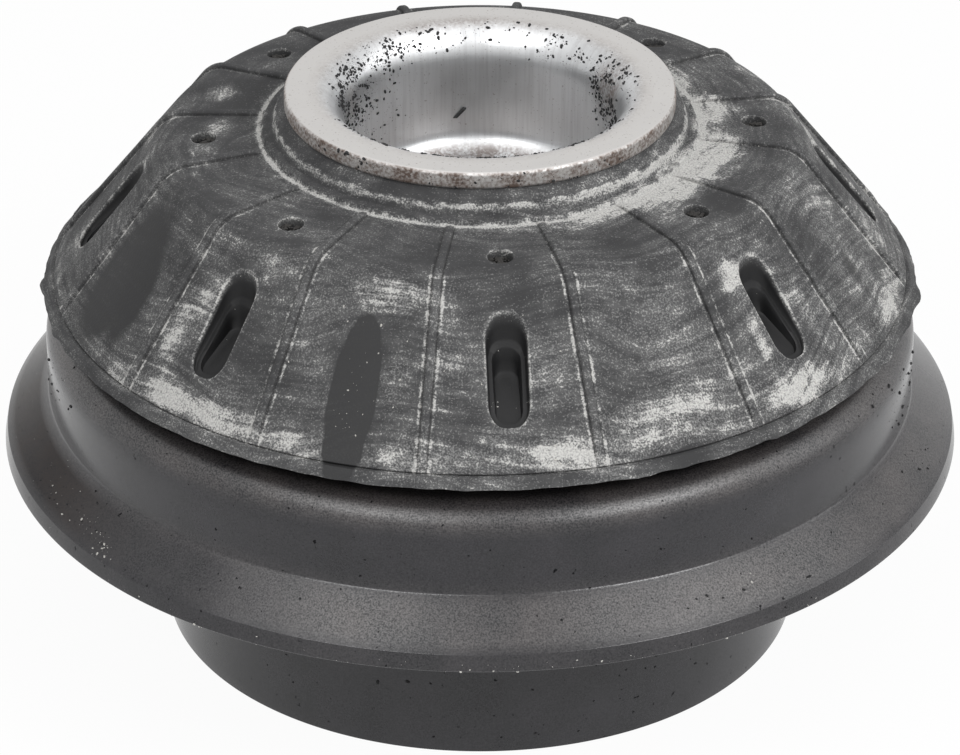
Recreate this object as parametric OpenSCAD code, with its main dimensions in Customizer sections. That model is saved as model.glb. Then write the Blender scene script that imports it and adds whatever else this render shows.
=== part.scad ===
// Strut top mount: a moulded rubber cone around a flanged rod cup, carried by a thrust ball
// bearing on a pressed spring seat. Millimetres, +Z up along the strut's axis, origin at the
// centre of the spring pilot's lower end.

/* [Spring seat] */
// Outer diameter of the tube that pilots the coil spring
pilot_d = 107.3; // [100:0.1:114]
// Height of the spring's bearing face above the pilot's lower end
pilot_h = 54.5; // [45:0.5:65]
// Thickness of the pressed sheet
seat_t = 2; // [1.6:0.1:2.6]
// Clear width of the channel that takes the spring's end coil
channel_w = 16.55; // [15.5:0.05:19]
// Height of the seat's outer wall, from its top face to the flare
wall_h = 14.8; // [12:0.2:18]
// Slope of the flared rim below the horizontal
flare_angle = 42.5; // [35:0.5:50]
// Radial width of the flared rim, outside the wall
flare_w = 7.8; // [5:0.1:11]
// Outward lean of the trimmed rim edge
rim_taper = 0.6; // [0.2:0.1:1]
// Inside bend radius between the seat's face and its outer wall
crown_bend_r = 3.5; // [2.5:0.1:4.5]
// Inside bend radius between the seat's face and the pilot
mouth_bend_r = 3; // [2:0.1:4]
// Bend radius between the wall and the flare
flare_bend_r = 1; // [0.6:0.1:2]

/* [Bearing] */
// Diameter of the balls
ball_d = 4; // [3.5:0.1:4.6]
// Number of balls
ball_count = 48; // [36:1:52]
// Radial distance from the pilot's outer face to the ball circle
pitch_offset = 4.85; // [4:0.05:5.6]
// Radial width of each race
race_w = 6.4; // [5.8:0.1:7.2]
// Thickness of each race
race_t = 1.2; // [1:0.1:1.6]
// Depth that a ball sits in each race
groove_depth = 0.5; // [0.3:0.05:0.7]
// Running clearance between a ball and its groove
ball_gap = 0.06; // [0.03:0.01:0.1]
// Side clearance of a ball in its cage pocket
pocket_gap = 0.15; // [0.1:0.01:0.25]
// Radial width of the cage ring
cage_w = 4.8; // [4.6:0.1:5.2]
// Thickness of the cage ring
cage_t = 1.6; // [1.2:0.1:2]
// Floor thickness of the moulded bearing housings
housing_t = 1.2; // [1:0.1:1.6]
// Thickness of the housings' upright rims
housing_rim_t = 0.8; // [0.7:0.05:1]
// Clearance between a race and the rim that centres it
race_fit = 0.1; // [0.05:0.01:0.2]
// Running clearance between the turning housing and the standing one
housing_gap = 0.5; // [0.4:0.05:0.7]
// Reach of the snap beads that hold the two housings together
bead_w = 0.3; // [0.25:0.01:0.35]
// Depth that the upper race sits in its housing
race_inset = 0.8; // [0.6:0.05:0.9]
// Clearance between the lower housing's spigot and the pilot's mouth
spigot_gap = 0.3; // [0.2:0.05:0.5]
// Clearance between a seal's lip and the face it wipes
seal_gap = 0.4; // [0.3:0.05:0.5]
// Thickness of the seals
seal_t = 1; // [0.8:0.1:1.2]
// Height of the seals' bands on the upper housing
seal_h = 2; // [1.6:0.1:2.2]
// Reach of the seals' lips from the upper housing
seal_reach = 2.2; // [1.8:0.1:2.5]
// Thickness of a seal's lip at its tip
seal_tip = 0.4; // [0.3:0.05:0.5]

/* [Support plate] */
// Thickness of the plate that the rubber is bonded to
plate_t = 2; // [1.6:0.1:2.4]
// Inside bend radius of the plate
plate_bend_r = 1.2; // [0.8:0.1:1.6]
// Clearance between the plate's skirt and the upper housing
skirt_fit = 0.1; // [0.05:0.01:0.2]
// Drop of the skirt's end below the plate's bearing face
skirt_drop = 3.2; // [2.8:0.1:3.8]
// Radial distance from the upper housing to the foot of the plate's neck
neck_inset = 1.5; // [1:0.1:2.5]
// Length of the plate's conical neck
neck_l = 11; // [9:0.5:12]
// Slope of the neck above the horizontal
neck_angle = 60; // [50:1:70]

/* [Rod cup] */
// Bore of the cup, for the nut and its socket
cup_bore_d = 44.8; // [42:0.1:47]
// Wall of the cup
cup_wall = 3; // [2.5:0.1:3.5]
// Depth of the cup from its flange to its floor
cup_depth = 22; // [19:0.5:25]
// Thickness of the cup's floor
cup_floor_t = 4; // [3:0.5:5]
// Hole for the damper's piston rod
rod_hole_d = 14.2; // [12:0.1:18]
// Diameter of the cup's top flange
cup_flange_d = 63.66; // [60:0.02:66]
// Thickness of the cup's top flange
cup_flange_t = 2.9; // [2.4:0.1:3.4]
// Radial depth of the bell mouth
bell_w = 4.8; // [4:0.1:5.6]
// Height of the bell mouth
bell_h = 6.6; // [5:0.1:8]
// Fillet between the cup's wall and floor
cup_fillet_r = 3.6; // [2.5:0.1:4.5]
// Edge radius of the cup's flange
cup_edge_r = 0.6; // [0.4:0.1:0.9]
// Outer corner radius of the cup's floor
cup_corner_r = 2; // [1:0.1:2.5]

/* [Rubber cone] */
// Width of the lip outside the plate's skirt
lip_w = 6.2; // [5.4:0.1:7]
// Drop of the lip's underside below the plate's bearing face
lip_drop = 4.35; // [4.2:0.05:4.6]
// Height of the lip's slanted edge
lip_edge_h = 1.75; // [1.2:0.05:2.2]
// Radial width of the lip's slanted edge
lip_edge_w = 1.2; // [0.8:0.1:1.5]
// Size of the parting groove above the lip
parting_w = 0.5; // [0.3:0.05:0.7]
// Radial width of the flank
flank_w = 19; // [18.5:0.1:20]
// Height of the flank
flank_h = 23.8; // [23:0.1:26]
// Radius of the rounded shoulder above the flank
shoulder_r = 6; // [4:0.5:8]
// Rise of the top face from the shoulder to the collar
top_rise = 0.9; // [0.4:0.1:1.6]
// Radial width of the collar's terrace outside the cup's flange
terrace_w = 3.9; // [3.4:0.1:4.6]
// Height of the terrace above the top face
terrace_h = 0.75; // [0.5:0.05:1]
// Radial width of the collar's step outside the cup's flange
collar_w = 1.6; // [1.2:0.1:2]
// Height of the collar's step above the terrace
collar_h = 1.75; // [1.4:0.05:2.2]
// Height of the collar's sloped tuck under the cup's flange
tuck_h = 1.7; // [1.4:0.1:2]
// Height of the rubber's arched relief on the underside
relief_h = 3; // [1:0.5:4]

/* [Rubber pattern] */
// Number of slots around the flank
slot_count = 8; // [6:1:9]
// Turn of the whole pattern about the axis
pattern_turn = 4; // [0:0.5:45]
// Width of a slot at the surface
slot_w = 6.7; // [5.8:0.1:7.2]
// Radial distance from the shoulder's corner to a slot's upper end
slot_inset = 3.3; // [3:0.1:4.5]
// Radial length of a slot
slot_l = 11.2; // [10:0.1:11.5]
// Depth of a slot's well below the flank at its upper end
slot_depth = 8.8; // [7:0.1:9.5]
// Depth of a slot's shelf below the flank at its upper end
shelf_depth = 4.4; // [3:0.1:5.5]
// Depth of the well and the shelf below the flank at the slot's lower end
slot_end_depth = 1.2; // [0.6:0.1:1.5]
// Width of the shelf inside a slot's rim
shelf_w = 1.2; // [1:0.1:1.5]
// Ribs for each slot
ribs_per_slot = 2; // [1:1:3]
// Width of a rib
rib_w = 1.4; // [1:0.1:2]
// Height of a rib over the shoulder
rib_h = 0.7; // [0.4:0.1:1.2]
// Height of a rib where it starts and ends
rib_end_h = 0.4; // [0.2:0.1:0.8]
// Diameter of the holes left by the mould's locating pins
pin_hole_d = 4.2; // [3:0.1:5]
// Radial distance from the shoulder's corner to a pin hole
pin_inset = 6.5; // [5.5:0.1:7.5]
// Depth of a pin hole
pin_depth = 8; // [6:0.5:8.5]

/* [Hidden] */
$fn = 96;

// Steps in a rounded corner of a section
arc_steps = 10;
// How far a cutting or joining shape runs past the face it meets
overrun = 1;

// Spring seat, from the pilot outwards
pilot_r = pilot_d / 2;
pilot_bore_r = pilot_r - seat_t;
seat_top_z = pilot_h + seat_t;
crown_r = crown_bend_r + seat_t;
mouth_r = mouth_bend_r + seat_t;
wall_r = pilot_r + channel_w + seat_t;
rim_r = wall_r + flare_w;
flare_turn = 90 - flare_angle;
flare_corner_z = seat_top_z - wall_h;
flare_c = [wall_r + flare_bend_r, flare_corner_z + flare_bend_r * tan(flare_turn / 2)];

// Bearing, radially from the ball circle and upwards from the seat's top face
ball_r = ball_d / 2;
groove_r = ball_r + ball_gap;
pitch_r = pilot_r + pitch_offset;
race_in_r = pitch_r - race_w / 2;
race_out_r = pitch_r + race_w / 2;
base_floor_z = seat_top_z + housing_t;
lower_race_z = base_floor_z + race_t;
ball_z = lower_race_z - groove_depth + groove_r;
upper_race_z = ball_z + groove_r - groove_depth;
cap_floor_z = upper_race_z + race_t;
plate_z = cap_floor_z + housing_t;
base_rim_in_r = race_in_r - race_fit - housing_rim_t;
base_rim_out_r = race_out_r + race_fit + housing_rim_t;
base_rim_z = ball_z - cage_t / 2 + bead_w;
bead_h = 2 * bead_w;
bead_z = base_rim_z - bead_h;
spigot_r = pilot_bore_r - spigot_gap;
spigot_in_r = spigot_r - housing_t;
spigot_z = seat_top_z - mouth_r + housing_gap;
cap_rim_in_r = base_rim_in_r - housing_gap;
cap_in_r = cap_rim_in_r - housing_rim_t;
cap_rim_out_r = base_rim_out_r + housing_gap;
cap_out_r = cap_rim_out_r + housing_rim_t;
cap_rim_z = base_floor_z - housing_gap + seal_gap;
cap_ledge_z = cap_floor_z - race_inset;
cap_foot_z = base_floor_z + housing_gap;
cap_bead_in = housing_gap - bead_w / 2;

// Support plate, around the upper housing
plate_top_z = plate_z + plate_t;
skirt_in_r = cap_out_r + skirt_fit;
skirt_out_r = skirt_in_r + plate_t;
skirt_end_z = plate_z - skirt_drop;
neck_c = [cap_in_r - neck_inset, plate_top_z + plate_bend_r];
neck_dir = [-cos(neck_angle), sin(neck_angle)];
neck_bend = [[270, 270 - neck_angle], [270 - neck_angle, 270]];

// Rubber cone, outwards and upwards from the skirt
lip_z = plate_z - lip_drop;
lip_r = skirt_out_r + lip_w;
flank_low = [lip_r - lip_edge_w - parting_w, lip_z + lip_edge_h];
shoulder = flank_low + [-flank_w, flank_h];
flank_slope = atan2(flank_h, flank_w);
flank_out = [sin(flank_slope), cos(flank_slope)];

// Rod cup, upwards from the rubber's top face
cup_flange_r = cup_flange_d / 2;
cup_bore_r = cup_bore_d / 2;
cup_out_r = cup_bore_r + cup_wall;
rod_hole_r = rod_hole_d / 2;
terrace_r = cup_flange_r + terrace_w;
top_z = shoulder[1] + top_rise;
terrace_z = top_z + terrace_h;
collar_z = terrace_z + collar_h;
cup_flange_z = collar_z + tuck_h;
cup_top_z = cup_flange_z + cup_flange_t;
cup_floor_z = cup_top_z - cup_depth;
cup_bottom_z = cup_floor_z - cup_floor_t;

// The rounded shoulder between the top face and the flank
top_slope = atan2(top_rise, shoulder[0] - terrace_r);
shoulder_half = (flank_slope - top_slope) / 2;
shoulder_set = shoulder_r / cos(shoulder_half);
shoulder_normal = 90 - top_slope - shoulder_half;
shoulder_c = shoulder - shoulder_set * [cos(shoulder_normal), sin(shoulder_normal)];

// Slots and ribs
slot_in_r = shoulder[0] + slot_inset;
slot_out_r = slot_in_r + slot_l;
rib_count = slot_count * ribs_per_slot;
rib_turn = pattern_turn + 180 / rib_count;

// Points along an arc, or along a quarter of an ellipse where radius is a pair
function arc(centre, radius, from, to) = [
    for (i = [0:arc_steps])
        let (a = from + (to - from) * i / arc_steps, r = is_list(radius) ? radius : [radius, radius])
        centre + [r[0] * cos(a), r[1] * sin(a)]
];

// Height of the flank at a radius
function flank_z(r) = flank_low[1] + (flank_low[0] - r) * flank_h / flank_w;

function reversed(points) = [for (i = [len(points) - 1:-1:0]) points[i]];

// Section of the pressed seat: along its upper face from the pilot to the rim, and back below
function seat_section() =
    let (
        crown_c = [wall_r - crown_r, seat_top_z - crown_r],
        mouth_c = [pilot_bore_r + mouth_r, seat_top_z - mouth_r],
        flare_end = 180 + flare_turn,
        bend_end = flare_c + flare_bend_r * [cos(flare_end), sin(flare_end)],
        rim_top_r = rim_r - rim_taper,
        fall = tan(flare_angle)
    )
    concat(
        [[pilot_bore_r, 0]],
        arc(mouth_c, mouth_r, 180, 90),
        arc(crown_c, crown_r, 90, 0),
        arc(flare_c, flare_bend_r, 180, flare_end),
        [[rim_top_r, bend_end[1] - (rim_top_r - bend_end[0]) * fall]],
        [[rim_r, bend_end[1] - (rim_r - bend_end[0]) * fall - seat_t / cos(flare_angle)]],
        arc(flare_c, flare_bend_r + seat_t, flare_end, 180),
        arc(crown_c, crown_bend_r, 0, 90),
        arc(mouth_c, mouth_bend_r, 90, 180),
        [[pilot_r, 0]]
    );

// The plate's upper face, from the skirt's end over the bearing to the neck's edge
function plate_upper() =
    let (
        bend_c = [skirt_out_r - plate_bend_r - plate_t, plate_z - plate_bend_r],
        neck_foot = arc(neck_c, plate_bend_r, neck_bend[0][0], neck_bend[0][1])
    )
    concat(
        [[skirt_out_r, skirt_end_z]],
        arc(bend_c, plate_bend_r + plate_t, 0, 90),
        neck_foot,
        [neck_foot[arc_steps] + neck_l * neck_dir]
    );

// The plate's lower face, from the neck's edge back to the skirt's end
function plate_lower() =
    let (
        bend_c = [skirt_out_r - plate_bend_r - plate_t, plate_z - plate_bend_r],
        neck_foot = arc(neck_c, plate_bend_r + plate_t, neck_bend[1][0], neck_bend[1][1])
    )
    concat(
        [neck_foot[0] + neck_l * neck_dir],
        neck_foot,
        arc(bend_c, plate_bend_r, 90, 0),
        [[skirt_in_r, skirt_end_z]]
    );

// The cone's outer face from the terrace over the shoulder to the flank's foot, moved outwards
// by one amount at its start, another over the shoulder and a third at its foot
function crown_line(at_start, at_shoulder, at_foot) = concat(
    [[terrace_r, top_z + at_start]],
    arc(shoulder_c, shoulder_r + at_shoulder, 90 - top_slope, 90 - flank_slope),
    [flank_low + at_foot * flank_out]
);

// The arched underside of the rubber, from the plate's neck to the cup
function relief_line() =
    let (outer = plate_lower()[1], inner = [cup_out_r, cup_bottom_z + cup_corner_r])
    [
        for (i = [0:arc_steps])
            let (t = i / arc_steps)
            outer + t * (inner - outer) + [0, relief_h * sin(180 * t)]
    ];

function rubber_section() = concat(
    [[cup_out_r, cup_flange_z]],
    [[cup_flange_r - cup_edge_r, cup_flange_z]],
    [[cup_flange_r + collar_w, collar_z]],
    arc([cup_flange_r + collar_w + terrace_h, terrace_z + terrace_h], terrace_h, 180, 270),
    [[terrace_r - terrace_h, terrace_z]],
    crown_line(0, 0, 0),
    [[flank_low[0] - parting_w / 2, flank_low[1] - parting_w / 2]],
    [[flank_low[0] + parting_w, flank_low[1] - parting_w / 2]],
    [[lip_r, lip_z]],
    [[skirt_in_r, lip_z]],
    [[skirt_in_r, skirt_end_z]],
    plate_upper(),
    [plate_lower()[0]],
    relief_line()
);

function cup_section() = concat(
    [[rod_hole_r, cup_bottom_z]],
    arc([cup_out_r - cup_corner_r, cup_bottom_z + cup_corner_r], cup_corner_r, -90, 0),
    [[cup_out_r, cup_flange_z]],
    arc([cup_flange_r - cup_edge_r, cup_flange_z + cup_edge_r], cup_edge_r, -90, 0),
    arc([cup_flange_r - cup_edge_r, cup_top_z - cup_edge_r], cup_edge_r, 0, 90),
    arc([cup_bore_r + bell_w, cup_top_z - bell_h], [bell_w, bell_h], 90, 180),
    arc([cup_bore_r - cup_fillet_r, cup_floor_z + cup_fillet_r], cup_fillet_r, 0, -90),
    [[rod_hole_r, cup_floor_z]]
);

// Lower housing: a spigot in the pilot's mouth, a floor on the seat and two rims at the race
function base_section() = [
    [spigot_in_r, spigot_z],
    [spigot_r, spigot_z],
    [spigot_r, seat_top_z],
    [base_rim_out_r, seat_top_z],
    [base_rim_out_r, bead_z - bead_w],
    [base_rim_out_r + bead_w, bead_z],
    [base_rim_out_r, base_rim_z],
    [base_rim_out_r - housing_rim_t, base_rim_z],
    [base_rim_out_r - housing_rim_t, base_floor_z],
    [base_rim_in_r + housing_rim_t, base_floor_z],
    [base_rim_in_r + housing_rim_t, base_rim_z],
    [base_rim_in_r, base_rim_z],
    [base_rim_in_r, base_floor_z],
    [spigot_in_r, base_floor_z]
];

// Upper housing: a floor under the plate, ledges that centre the race and a rim on each side
function cap_section() = [
    [cap_in_r, plate_z],
    [cap_in_r, cap_foot_z],
    [cap_rim_in_r, cap_foot_z],
    [cap_rim_in_r, cap_ledge_z],
    [race_in_r - race_fit, cap_ledge_z],
    [race_in_r - race_fit, cap_floor_z],
    [race_out_r + race_fit, cap_floor_z],
    [race_out_r + race_fit, cap_ledge_z],
    [cap_rim_out_r, cap_ledge_z],
    [cap_rim_out_r, bead_z - bead_h],
    [cap_rim_out_r - cap_bead_in, cap_rim_z + bead_w],
    [cap_rim_out_r, cap_rim_z],
    [cap_out_r, cap_rim_z],
    [cap_out_r, plate_z - plate_bend_r],
    [cap_out_r - plate_bend_r, plate_z]
];

function outer_seal_section() = [
    [cap_out_r, cap_rim_z],
    [cap_out_r + seal_t / 2, cap_rim_z],
    [cap_out_r + seal_reach - seal_tip, seat_top_z + seal_gap],
    [cap_out_r + seal_reach, seat_top_z + seal_gap + seal_tip],
    [cap_out_r + seal_t, cap_rim_z + seal_t],
    [cap_out_r + seal_t, cap_rim_z + seal_h],
    [cap_out_r, cap_rim_z + seal_h]
];

function inner_seal_section() = [
    [cap_in_r, cap_foot_z],
    [cap_in_r, cap_foot_z + seal_h],
    [cap_in_r - seal_t, cap_foot_z + seal_h],
    [cap_in_r - seal_t, cap_foot_z + seal_t],
    [cap_in_r - seal_reach, base_floor_z + seal_gap + seal_tip],
    [cap_in_r - seal_reach + seal_tip, base_floor_z + seal_gap],
    [cap_in_r - seal_t / 2, cap_foot_z]
];

module revolved(section) {
    rotate_extrude()
        polygon(section);
}

// A flat ring from low_z with a groove in the face that looks at the balls
module race(low_z) {
    rotate_extrude()
        difference() {
            translate([race_in_r, low_z])
                square([race_w, race_t]);
            translate([pitch_r, ball_z])
                circle(groove_r);
        }
}

module at_each_ball() {
    for (i = [0:ball_count - 1])
        rotate(i * 360 / ball_count)
            translate([pitch_r, 0, ball_z])
                children();
}

module at_each_slot() {
    for (i = [0:slot_count - 1])
        rotate(pattern_turn + i * 360 / slot_count)
            children();
}

// An upright slab across a radial line, over the outline that its points give in section
module radial_slab(outline, width) {
    rotate([90, 0, 0])
        linear_extrude(width, center = true)
            polygon(outline);
}

// One step of a slot: upright walls with round ends, set in from the slot's rim, over a floor
// that slopes down along the flank
module slot_step(inset, depth) {
    end_r = slot_w / 2 - inset;
    intersection() {
        translate([0, 0, lip_z])
            linear_extrude(cup_top_z - lip_z) {
                translate([slot_in_r + slot_w / 2, -end_r])
                    square([slot_l - slot_w, 2 * end_r]);
                for (r = [slot_in_r + slot_w / 2, slot_out_r - slot_w / 2])
                    translate([r, 0])
                        circle(end_r);
            }
        radial_slab([
            [slot_in_r, flank_z(slot_in_r) - depth],
            [slot_out_r, flank_z(slot_out_r) - slot_end_depth],
            [slot_out_r, cup_top_z],
            [slot_in_r, cup_top_z]
        ], slot_w + overrun);
    }
}

// The shelf inside the slot's rim and the narrower well within it
module slot() {
    slot_step(0, shelf_depth);
    slot_step(shelf_w, slot_depth);
}

module pin_hole() {
    translate([shoulder[0] - pin_inset, 0, top_z - pin_depth])
        cylinder(h = pin_depth + overrun, d = pin_hole_d);
}

module rib() {
    radial_slab(concat(
        crown_line(rib_end_h, rib_h, rib_end_h),
        reversed(crown_line(-overrun, -overrun, -overrun))
    ), rib_w);
}

module spring_seat() {
    color("#3d3c40")
        revolved(seat_section());
}

module bearing_base() {
    color("#2b2b2d")
        revolved(base_section());
}

module lower_race() {
    color("#b9bcc0")
        race(base_floor_z);
}

module bearing_balls() {
    color("#d6d9dd")
        at_each_ball()
            sphere(ball_r);
}

module bearing_cage() {
    color("#d8d2bf")
        difference() {
            translate([0, 0, ball_z - cage_t / 2])
                rotate_extrude()
                    translate([pitch_r - cage_w / 2, 0])
                        square([cage_w, cage_t]);
            at_each_ball()
                cylinder(h = cage_t + overrun, r = ball_r + pocket_gap, center = true);
        }
}

module upper_race() {
    color("#b9bcc0")
        race(upper_race_z);
}

module bearing_cap() {
    color("#2b2b2d")
        revolved(cap_section());
}

module outer_seal() {
    color("#1f1f20")
        revolved(outer_seal_section());
}

module inner_seal() {
    color("#1f1f20")
        revolved(inner_seal_section());
}

module support_plate() {
    color("#4a4a4c")
        revolved(concat(plate_upper(), plate_lower()));
}

module rubber_cone() {
    color("#4a4a4b")
        difference() {
            union() {
                revolved(rubber_section());
                for (i = [0:rib_count - 1])
                    rotate(rib_turn + i * 360 / rib_count)
                        rib();
            }
            at_each_slot() {
                slot();
                pin_hole();
            }
        }
}

module rod_cup() {
    color("#c9c4bc")
        revolved(cup_section());
}

spring_seat();
bearing_base();
lower_race();
bearing_balls();
bearing_cage();
upper_race();
bearing_cap();
outer_seal();
inner_seal();
support_plate();
rubber_cone();
rod_cup();
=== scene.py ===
"""Looks of a strut top mount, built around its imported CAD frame.

A dusty moulded rubber cone is bonded round a bright steel cup and turns on a black coated spring
seat. The cone, its ribs, the cup and the seat are modelled again here with soft edges, mould flash
and loose grit. The hidden bearing keeps its CAD solids. Lengths are millimetres until a mesh is made.
"""

import logging
import math
from dataclasses import dataclass
from enum import Enum
from typing import Any, Sequence

import bmesh
import bpy
import numpy as np
from bpy.types import Material, Node, NodeSocket, NodeTree, Object
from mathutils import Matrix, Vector, noise


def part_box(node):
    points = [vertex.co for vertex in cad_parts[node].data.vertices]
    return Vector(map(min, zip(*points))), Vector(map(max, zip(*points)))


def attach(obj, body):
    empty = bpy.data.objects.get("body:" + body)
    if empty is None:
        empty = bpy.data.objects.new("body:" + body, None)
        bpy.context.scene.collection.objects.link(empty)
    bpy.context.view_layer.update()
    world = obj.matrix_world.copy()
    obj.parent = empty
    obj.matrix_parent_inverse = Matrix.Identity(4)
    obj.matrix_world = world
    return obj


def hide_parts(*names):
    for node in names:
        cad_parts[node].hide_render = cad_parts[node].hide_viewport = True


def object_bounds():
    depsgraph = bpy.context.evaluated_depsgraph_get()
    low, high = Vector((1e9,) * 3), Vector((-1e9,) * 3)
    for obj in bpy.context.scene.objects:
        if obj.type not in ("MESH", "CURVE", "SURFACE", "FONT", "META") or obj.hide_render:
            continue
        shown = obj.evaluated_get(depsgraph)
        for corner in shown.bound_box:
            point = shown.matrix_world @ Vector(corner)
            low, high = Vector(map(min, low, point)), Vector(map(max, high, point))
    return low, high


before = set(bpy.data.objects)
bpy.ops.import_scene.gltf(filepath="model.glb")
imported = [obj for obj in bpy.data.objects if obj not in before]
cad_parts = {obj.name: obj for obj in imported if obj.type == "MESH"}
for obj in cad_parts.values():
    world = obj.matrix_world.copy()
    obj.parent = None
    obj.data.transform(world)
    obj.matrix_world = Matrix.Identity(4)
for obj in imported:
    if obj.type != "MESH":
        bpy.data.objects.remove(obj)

CAD_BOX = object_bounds()

MM = 0.001
FULL_TURN = 2 * math.pi
ARC_STEPS = 8
MERGE_MM = 0.002
SHARP_ANGLE = math.radians(38)

log = logging.getLogger("strut_mount")


class Body(Enum):
    """The rigid bodies that pieces ride on."""

    SEAT = "seat"
    MOUNT = "mount"


class Slot(Enum):
    """Names of the record's finishes."""

    COATED_STEEL = "coated_steel"
    CONE_RUBBER = "cone_rubber"
    CUP_STEEL = "cup_steel"


class MixSocket(Enum):
    """Places of the colour sockets on a Mix node, whose names repeat for each kind of data."""

    FACTOR = 0
    FIRST = 6
    SECOND = 7
    RESULT = 2


def linear(hex_colour: str) -> tuple[float, float, float, float]:
    """Turn an sRGB hex colour into linear red, green, blue and alpha.

    Args:
        hex_colour: Colour such as "#3c3c3d".

    Returns:
        The linear colour with full alpha.
    """
    values = [int(hex_colour[i : i + 2], 16) / 255 for i in (1, 3, 5)]
    return (*[v / 12.92 if v <= 0.04045 else ((v + 0.055) / 1.055) ** 2.4 for v in values], 1.0)


def add(tree: NodeTree, kind: str, inputs: dict | None = None, **settings: Any) -> Node:
    """Add a node with its settings, input values and links.

    Args:
        tree: Node tree that takes the node.
        kind: Blender's identifier for the node's type.
        inputs: For each input's name or place, a value, a socket to link from, or a node whose
            first output is linked.
        settings: Properties of the node.

    Returns:
        The new node.
    """
    node = tree.nodes.new(kind)
    for name, value in settings.items():
        setattr(node, name, value)
    for name, value in (inputs or {}).items():
        socket = node.inputs[name]
        if isinstance(value, Node):
            value = value.outputs[0]
        if isinstance(value, NodeSocket):
            tree.links.new(value, socket)
        else:
            socket.default_value = value
    return node


def layered(tree: NodeTree, under: str, layers: Sequence[tuple[Any, str]]) -> NodeSocket:
    """Lay colours over one another.

    Args:
        tree: Node tree that takes the layers.
        under: The lowest colour.
        layers: The share that each colour covers, with the colour, from the lowest up.

    Returns:
        The colour that shows.
    """
    shown: Any = linear(under)
    for share, colour in layers:
        shown = add(tree, "ShaderNodeMix", {
            MixSocket.FACTOR.value: share,
            MixSocket.FIRST.value: shown,
            MixSocket.SECOND.value: linear(colour),
        }, data_type="RGBA").outputs[MixSocket.RESULT.value]
    return shown


def smooth_step(values: np.ndarray, low: float, high: float) -> np.ndarray:
    """Rise smoothly from 0 at low to 1 at high, for each value."""
    share = np.clip((values - low) / (high - low), 0, 1)
    return share * share * (3 - 2 * share)


@dataclass(frozen=True)
class Corner:
    """A corner of an outline and the radius that rounds it."""

    r: float
    z: float
    fillet: float = 0.0


def rounded(corners: Sequence[Corner], closed: bool = True) -> np.ndarray:
    """Turn corners into an outline with arcs for their fillets.

    Args:
        corners: Corners in order.
        closed: Whether the last corner joins the first.

    Returns:
        The outline's points, one per row.
    """
    points = []
    for i, corner in enumerate(corners):
        here = np.array((corner.r, corner.z))
        if corner.fillet == 0 or (not closed and i in (0, len(corners) - 1)):
            points.append(here)
            continue
        sides = []
        for other in (corners[i - 1], corners[(i + 1) % len(corners)]):
            side = np.array((other.r, other.z)) - here
            sides.append(side / np.linalg.norm(side))
        half = math.acos(np.clip(np.dot(*sides), -1, 1)) / 2
        middle = (sides[0] + sides[1]) / np.linalg.norm(sides[0] + sides[1])
        centre = here + middle * corner.fillet / math.sin(half)
        spokes = [here + side * corner.fillet / math.tan(half) - centre for side in sides]
        start = math.atan2(spokes[0][1], spokes[0][0])
        turn = math.remainder(math.atan2(spokes[1][1], spokes[1][0]) - start, FULL_TURN)
        for angle in start + turn * np.linspace(0, 1, ARC_STEPS + 1):
            points.append(centre + corner.fillet * np.array((math.cos(angle), math.sin(angle))))
    return np.array(points)


def resampled(points: np.ndarray, step: float) -> np.ndarray:
    """Divide an open outline's long stretches so that none is longer than a step.

    Args:
        points: The outline's points, one per row.
        step: The longest stretch that is left.

    Returns:
        The old points with new ones between them.
    """
    fine = [points[:1]]
    for start, end in zip(points[:-1], points[1:]):
        count = max(1, math.ceil(np.linalg.norm(end - start) / step))
        fine.append(start + np.linspace(0, 1, count + 1)[1:, None] * (end - start))
    return np.concatenate(fine)


def revolved(section: np.ndarray, segments: int) -> tuple[np.ndarray, list[tuple[int, ...]]]:
    """Turn a closed section about the axis.

    Args:
        section: Radius and height of each point.
        segments: Number of steps round the axis.

    Returns:
        The points and the four-sided faces.
    """
    angles = np.arange(segments) * FULL_TURN / segments
    count = len(section)
    points = np.empty((segments, count, 3))
    points[..., 0] = np.cos(angles)[:, None] * section[:, 0]
    points[..., 1] = np.sin(angles)[:, None] * section[:, 0]
    points[..., 2] = section[:, 1]
    faces = []
    for i in range(segments):
        here, there = i * count, (i + 1) % segments * count
        for j in range(count):
            k = (j + 1) % count
            faces.append((here + j, here + k, there + k, there + j))
    return points.reshape(-1, 3), faces


def new_object(name: str, points: np.ndarray, faces: list, edges: Sequence = ()) -> Object:
    """Make an object with a merged mesh whose faces point outwards.

    Args:
        name: Name of the piece.
        points: Places in millimetres.
        faces: Point numbers of each face.
        edges: Point numbers of each loose edge.

    Returns:
        The object, in the scene.
    """
    mesh = bpy.data.meshes.new(name)
    mesh.from_pydata((np.asarray(points) * MM).tolist(), list(edges), faces)
    work = bmesh.new()
    work.from_mesh(mesh)
    bmesh.ops.remove_doubles(work, verts=work.verts, dist=MERGE_MM * MM)
    bmesh.ops.recalc_face_normals(work, faces=work.faces)
    work.to_mesh(mesh)
    work.free()
    mesh.shade_smooth()
    mesh.set_sharp_from_angle(angle=SHARP_ANGLE)
    piece = bpy.data.objects.new(name, mesh)
    bpy.context.scene.collection.objects.link(piece)
    return piece


def places(piece: Object) -> np.ndarray:
    """Give the places of a piece's points.

    Args:
        piece: Object with a mesh.

    Returns:
        One place in millimetres for each point.
    """
    flat = np.empty(len(piece.data.vertices) * 3, np.float32)
    piece.data.vertices.foreach_get("co", flat)
    return flat.reshape(-1, 3).astype(float) / MM


def move(piece: Object, points: np.ndarray) -> None:
    """Set the places of a piece's points, in millimetres."""
    piece.data.vertices.foreach_set("co", (points * MM).astype(np.float32).ravel())
    piece.data.update()


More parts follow.
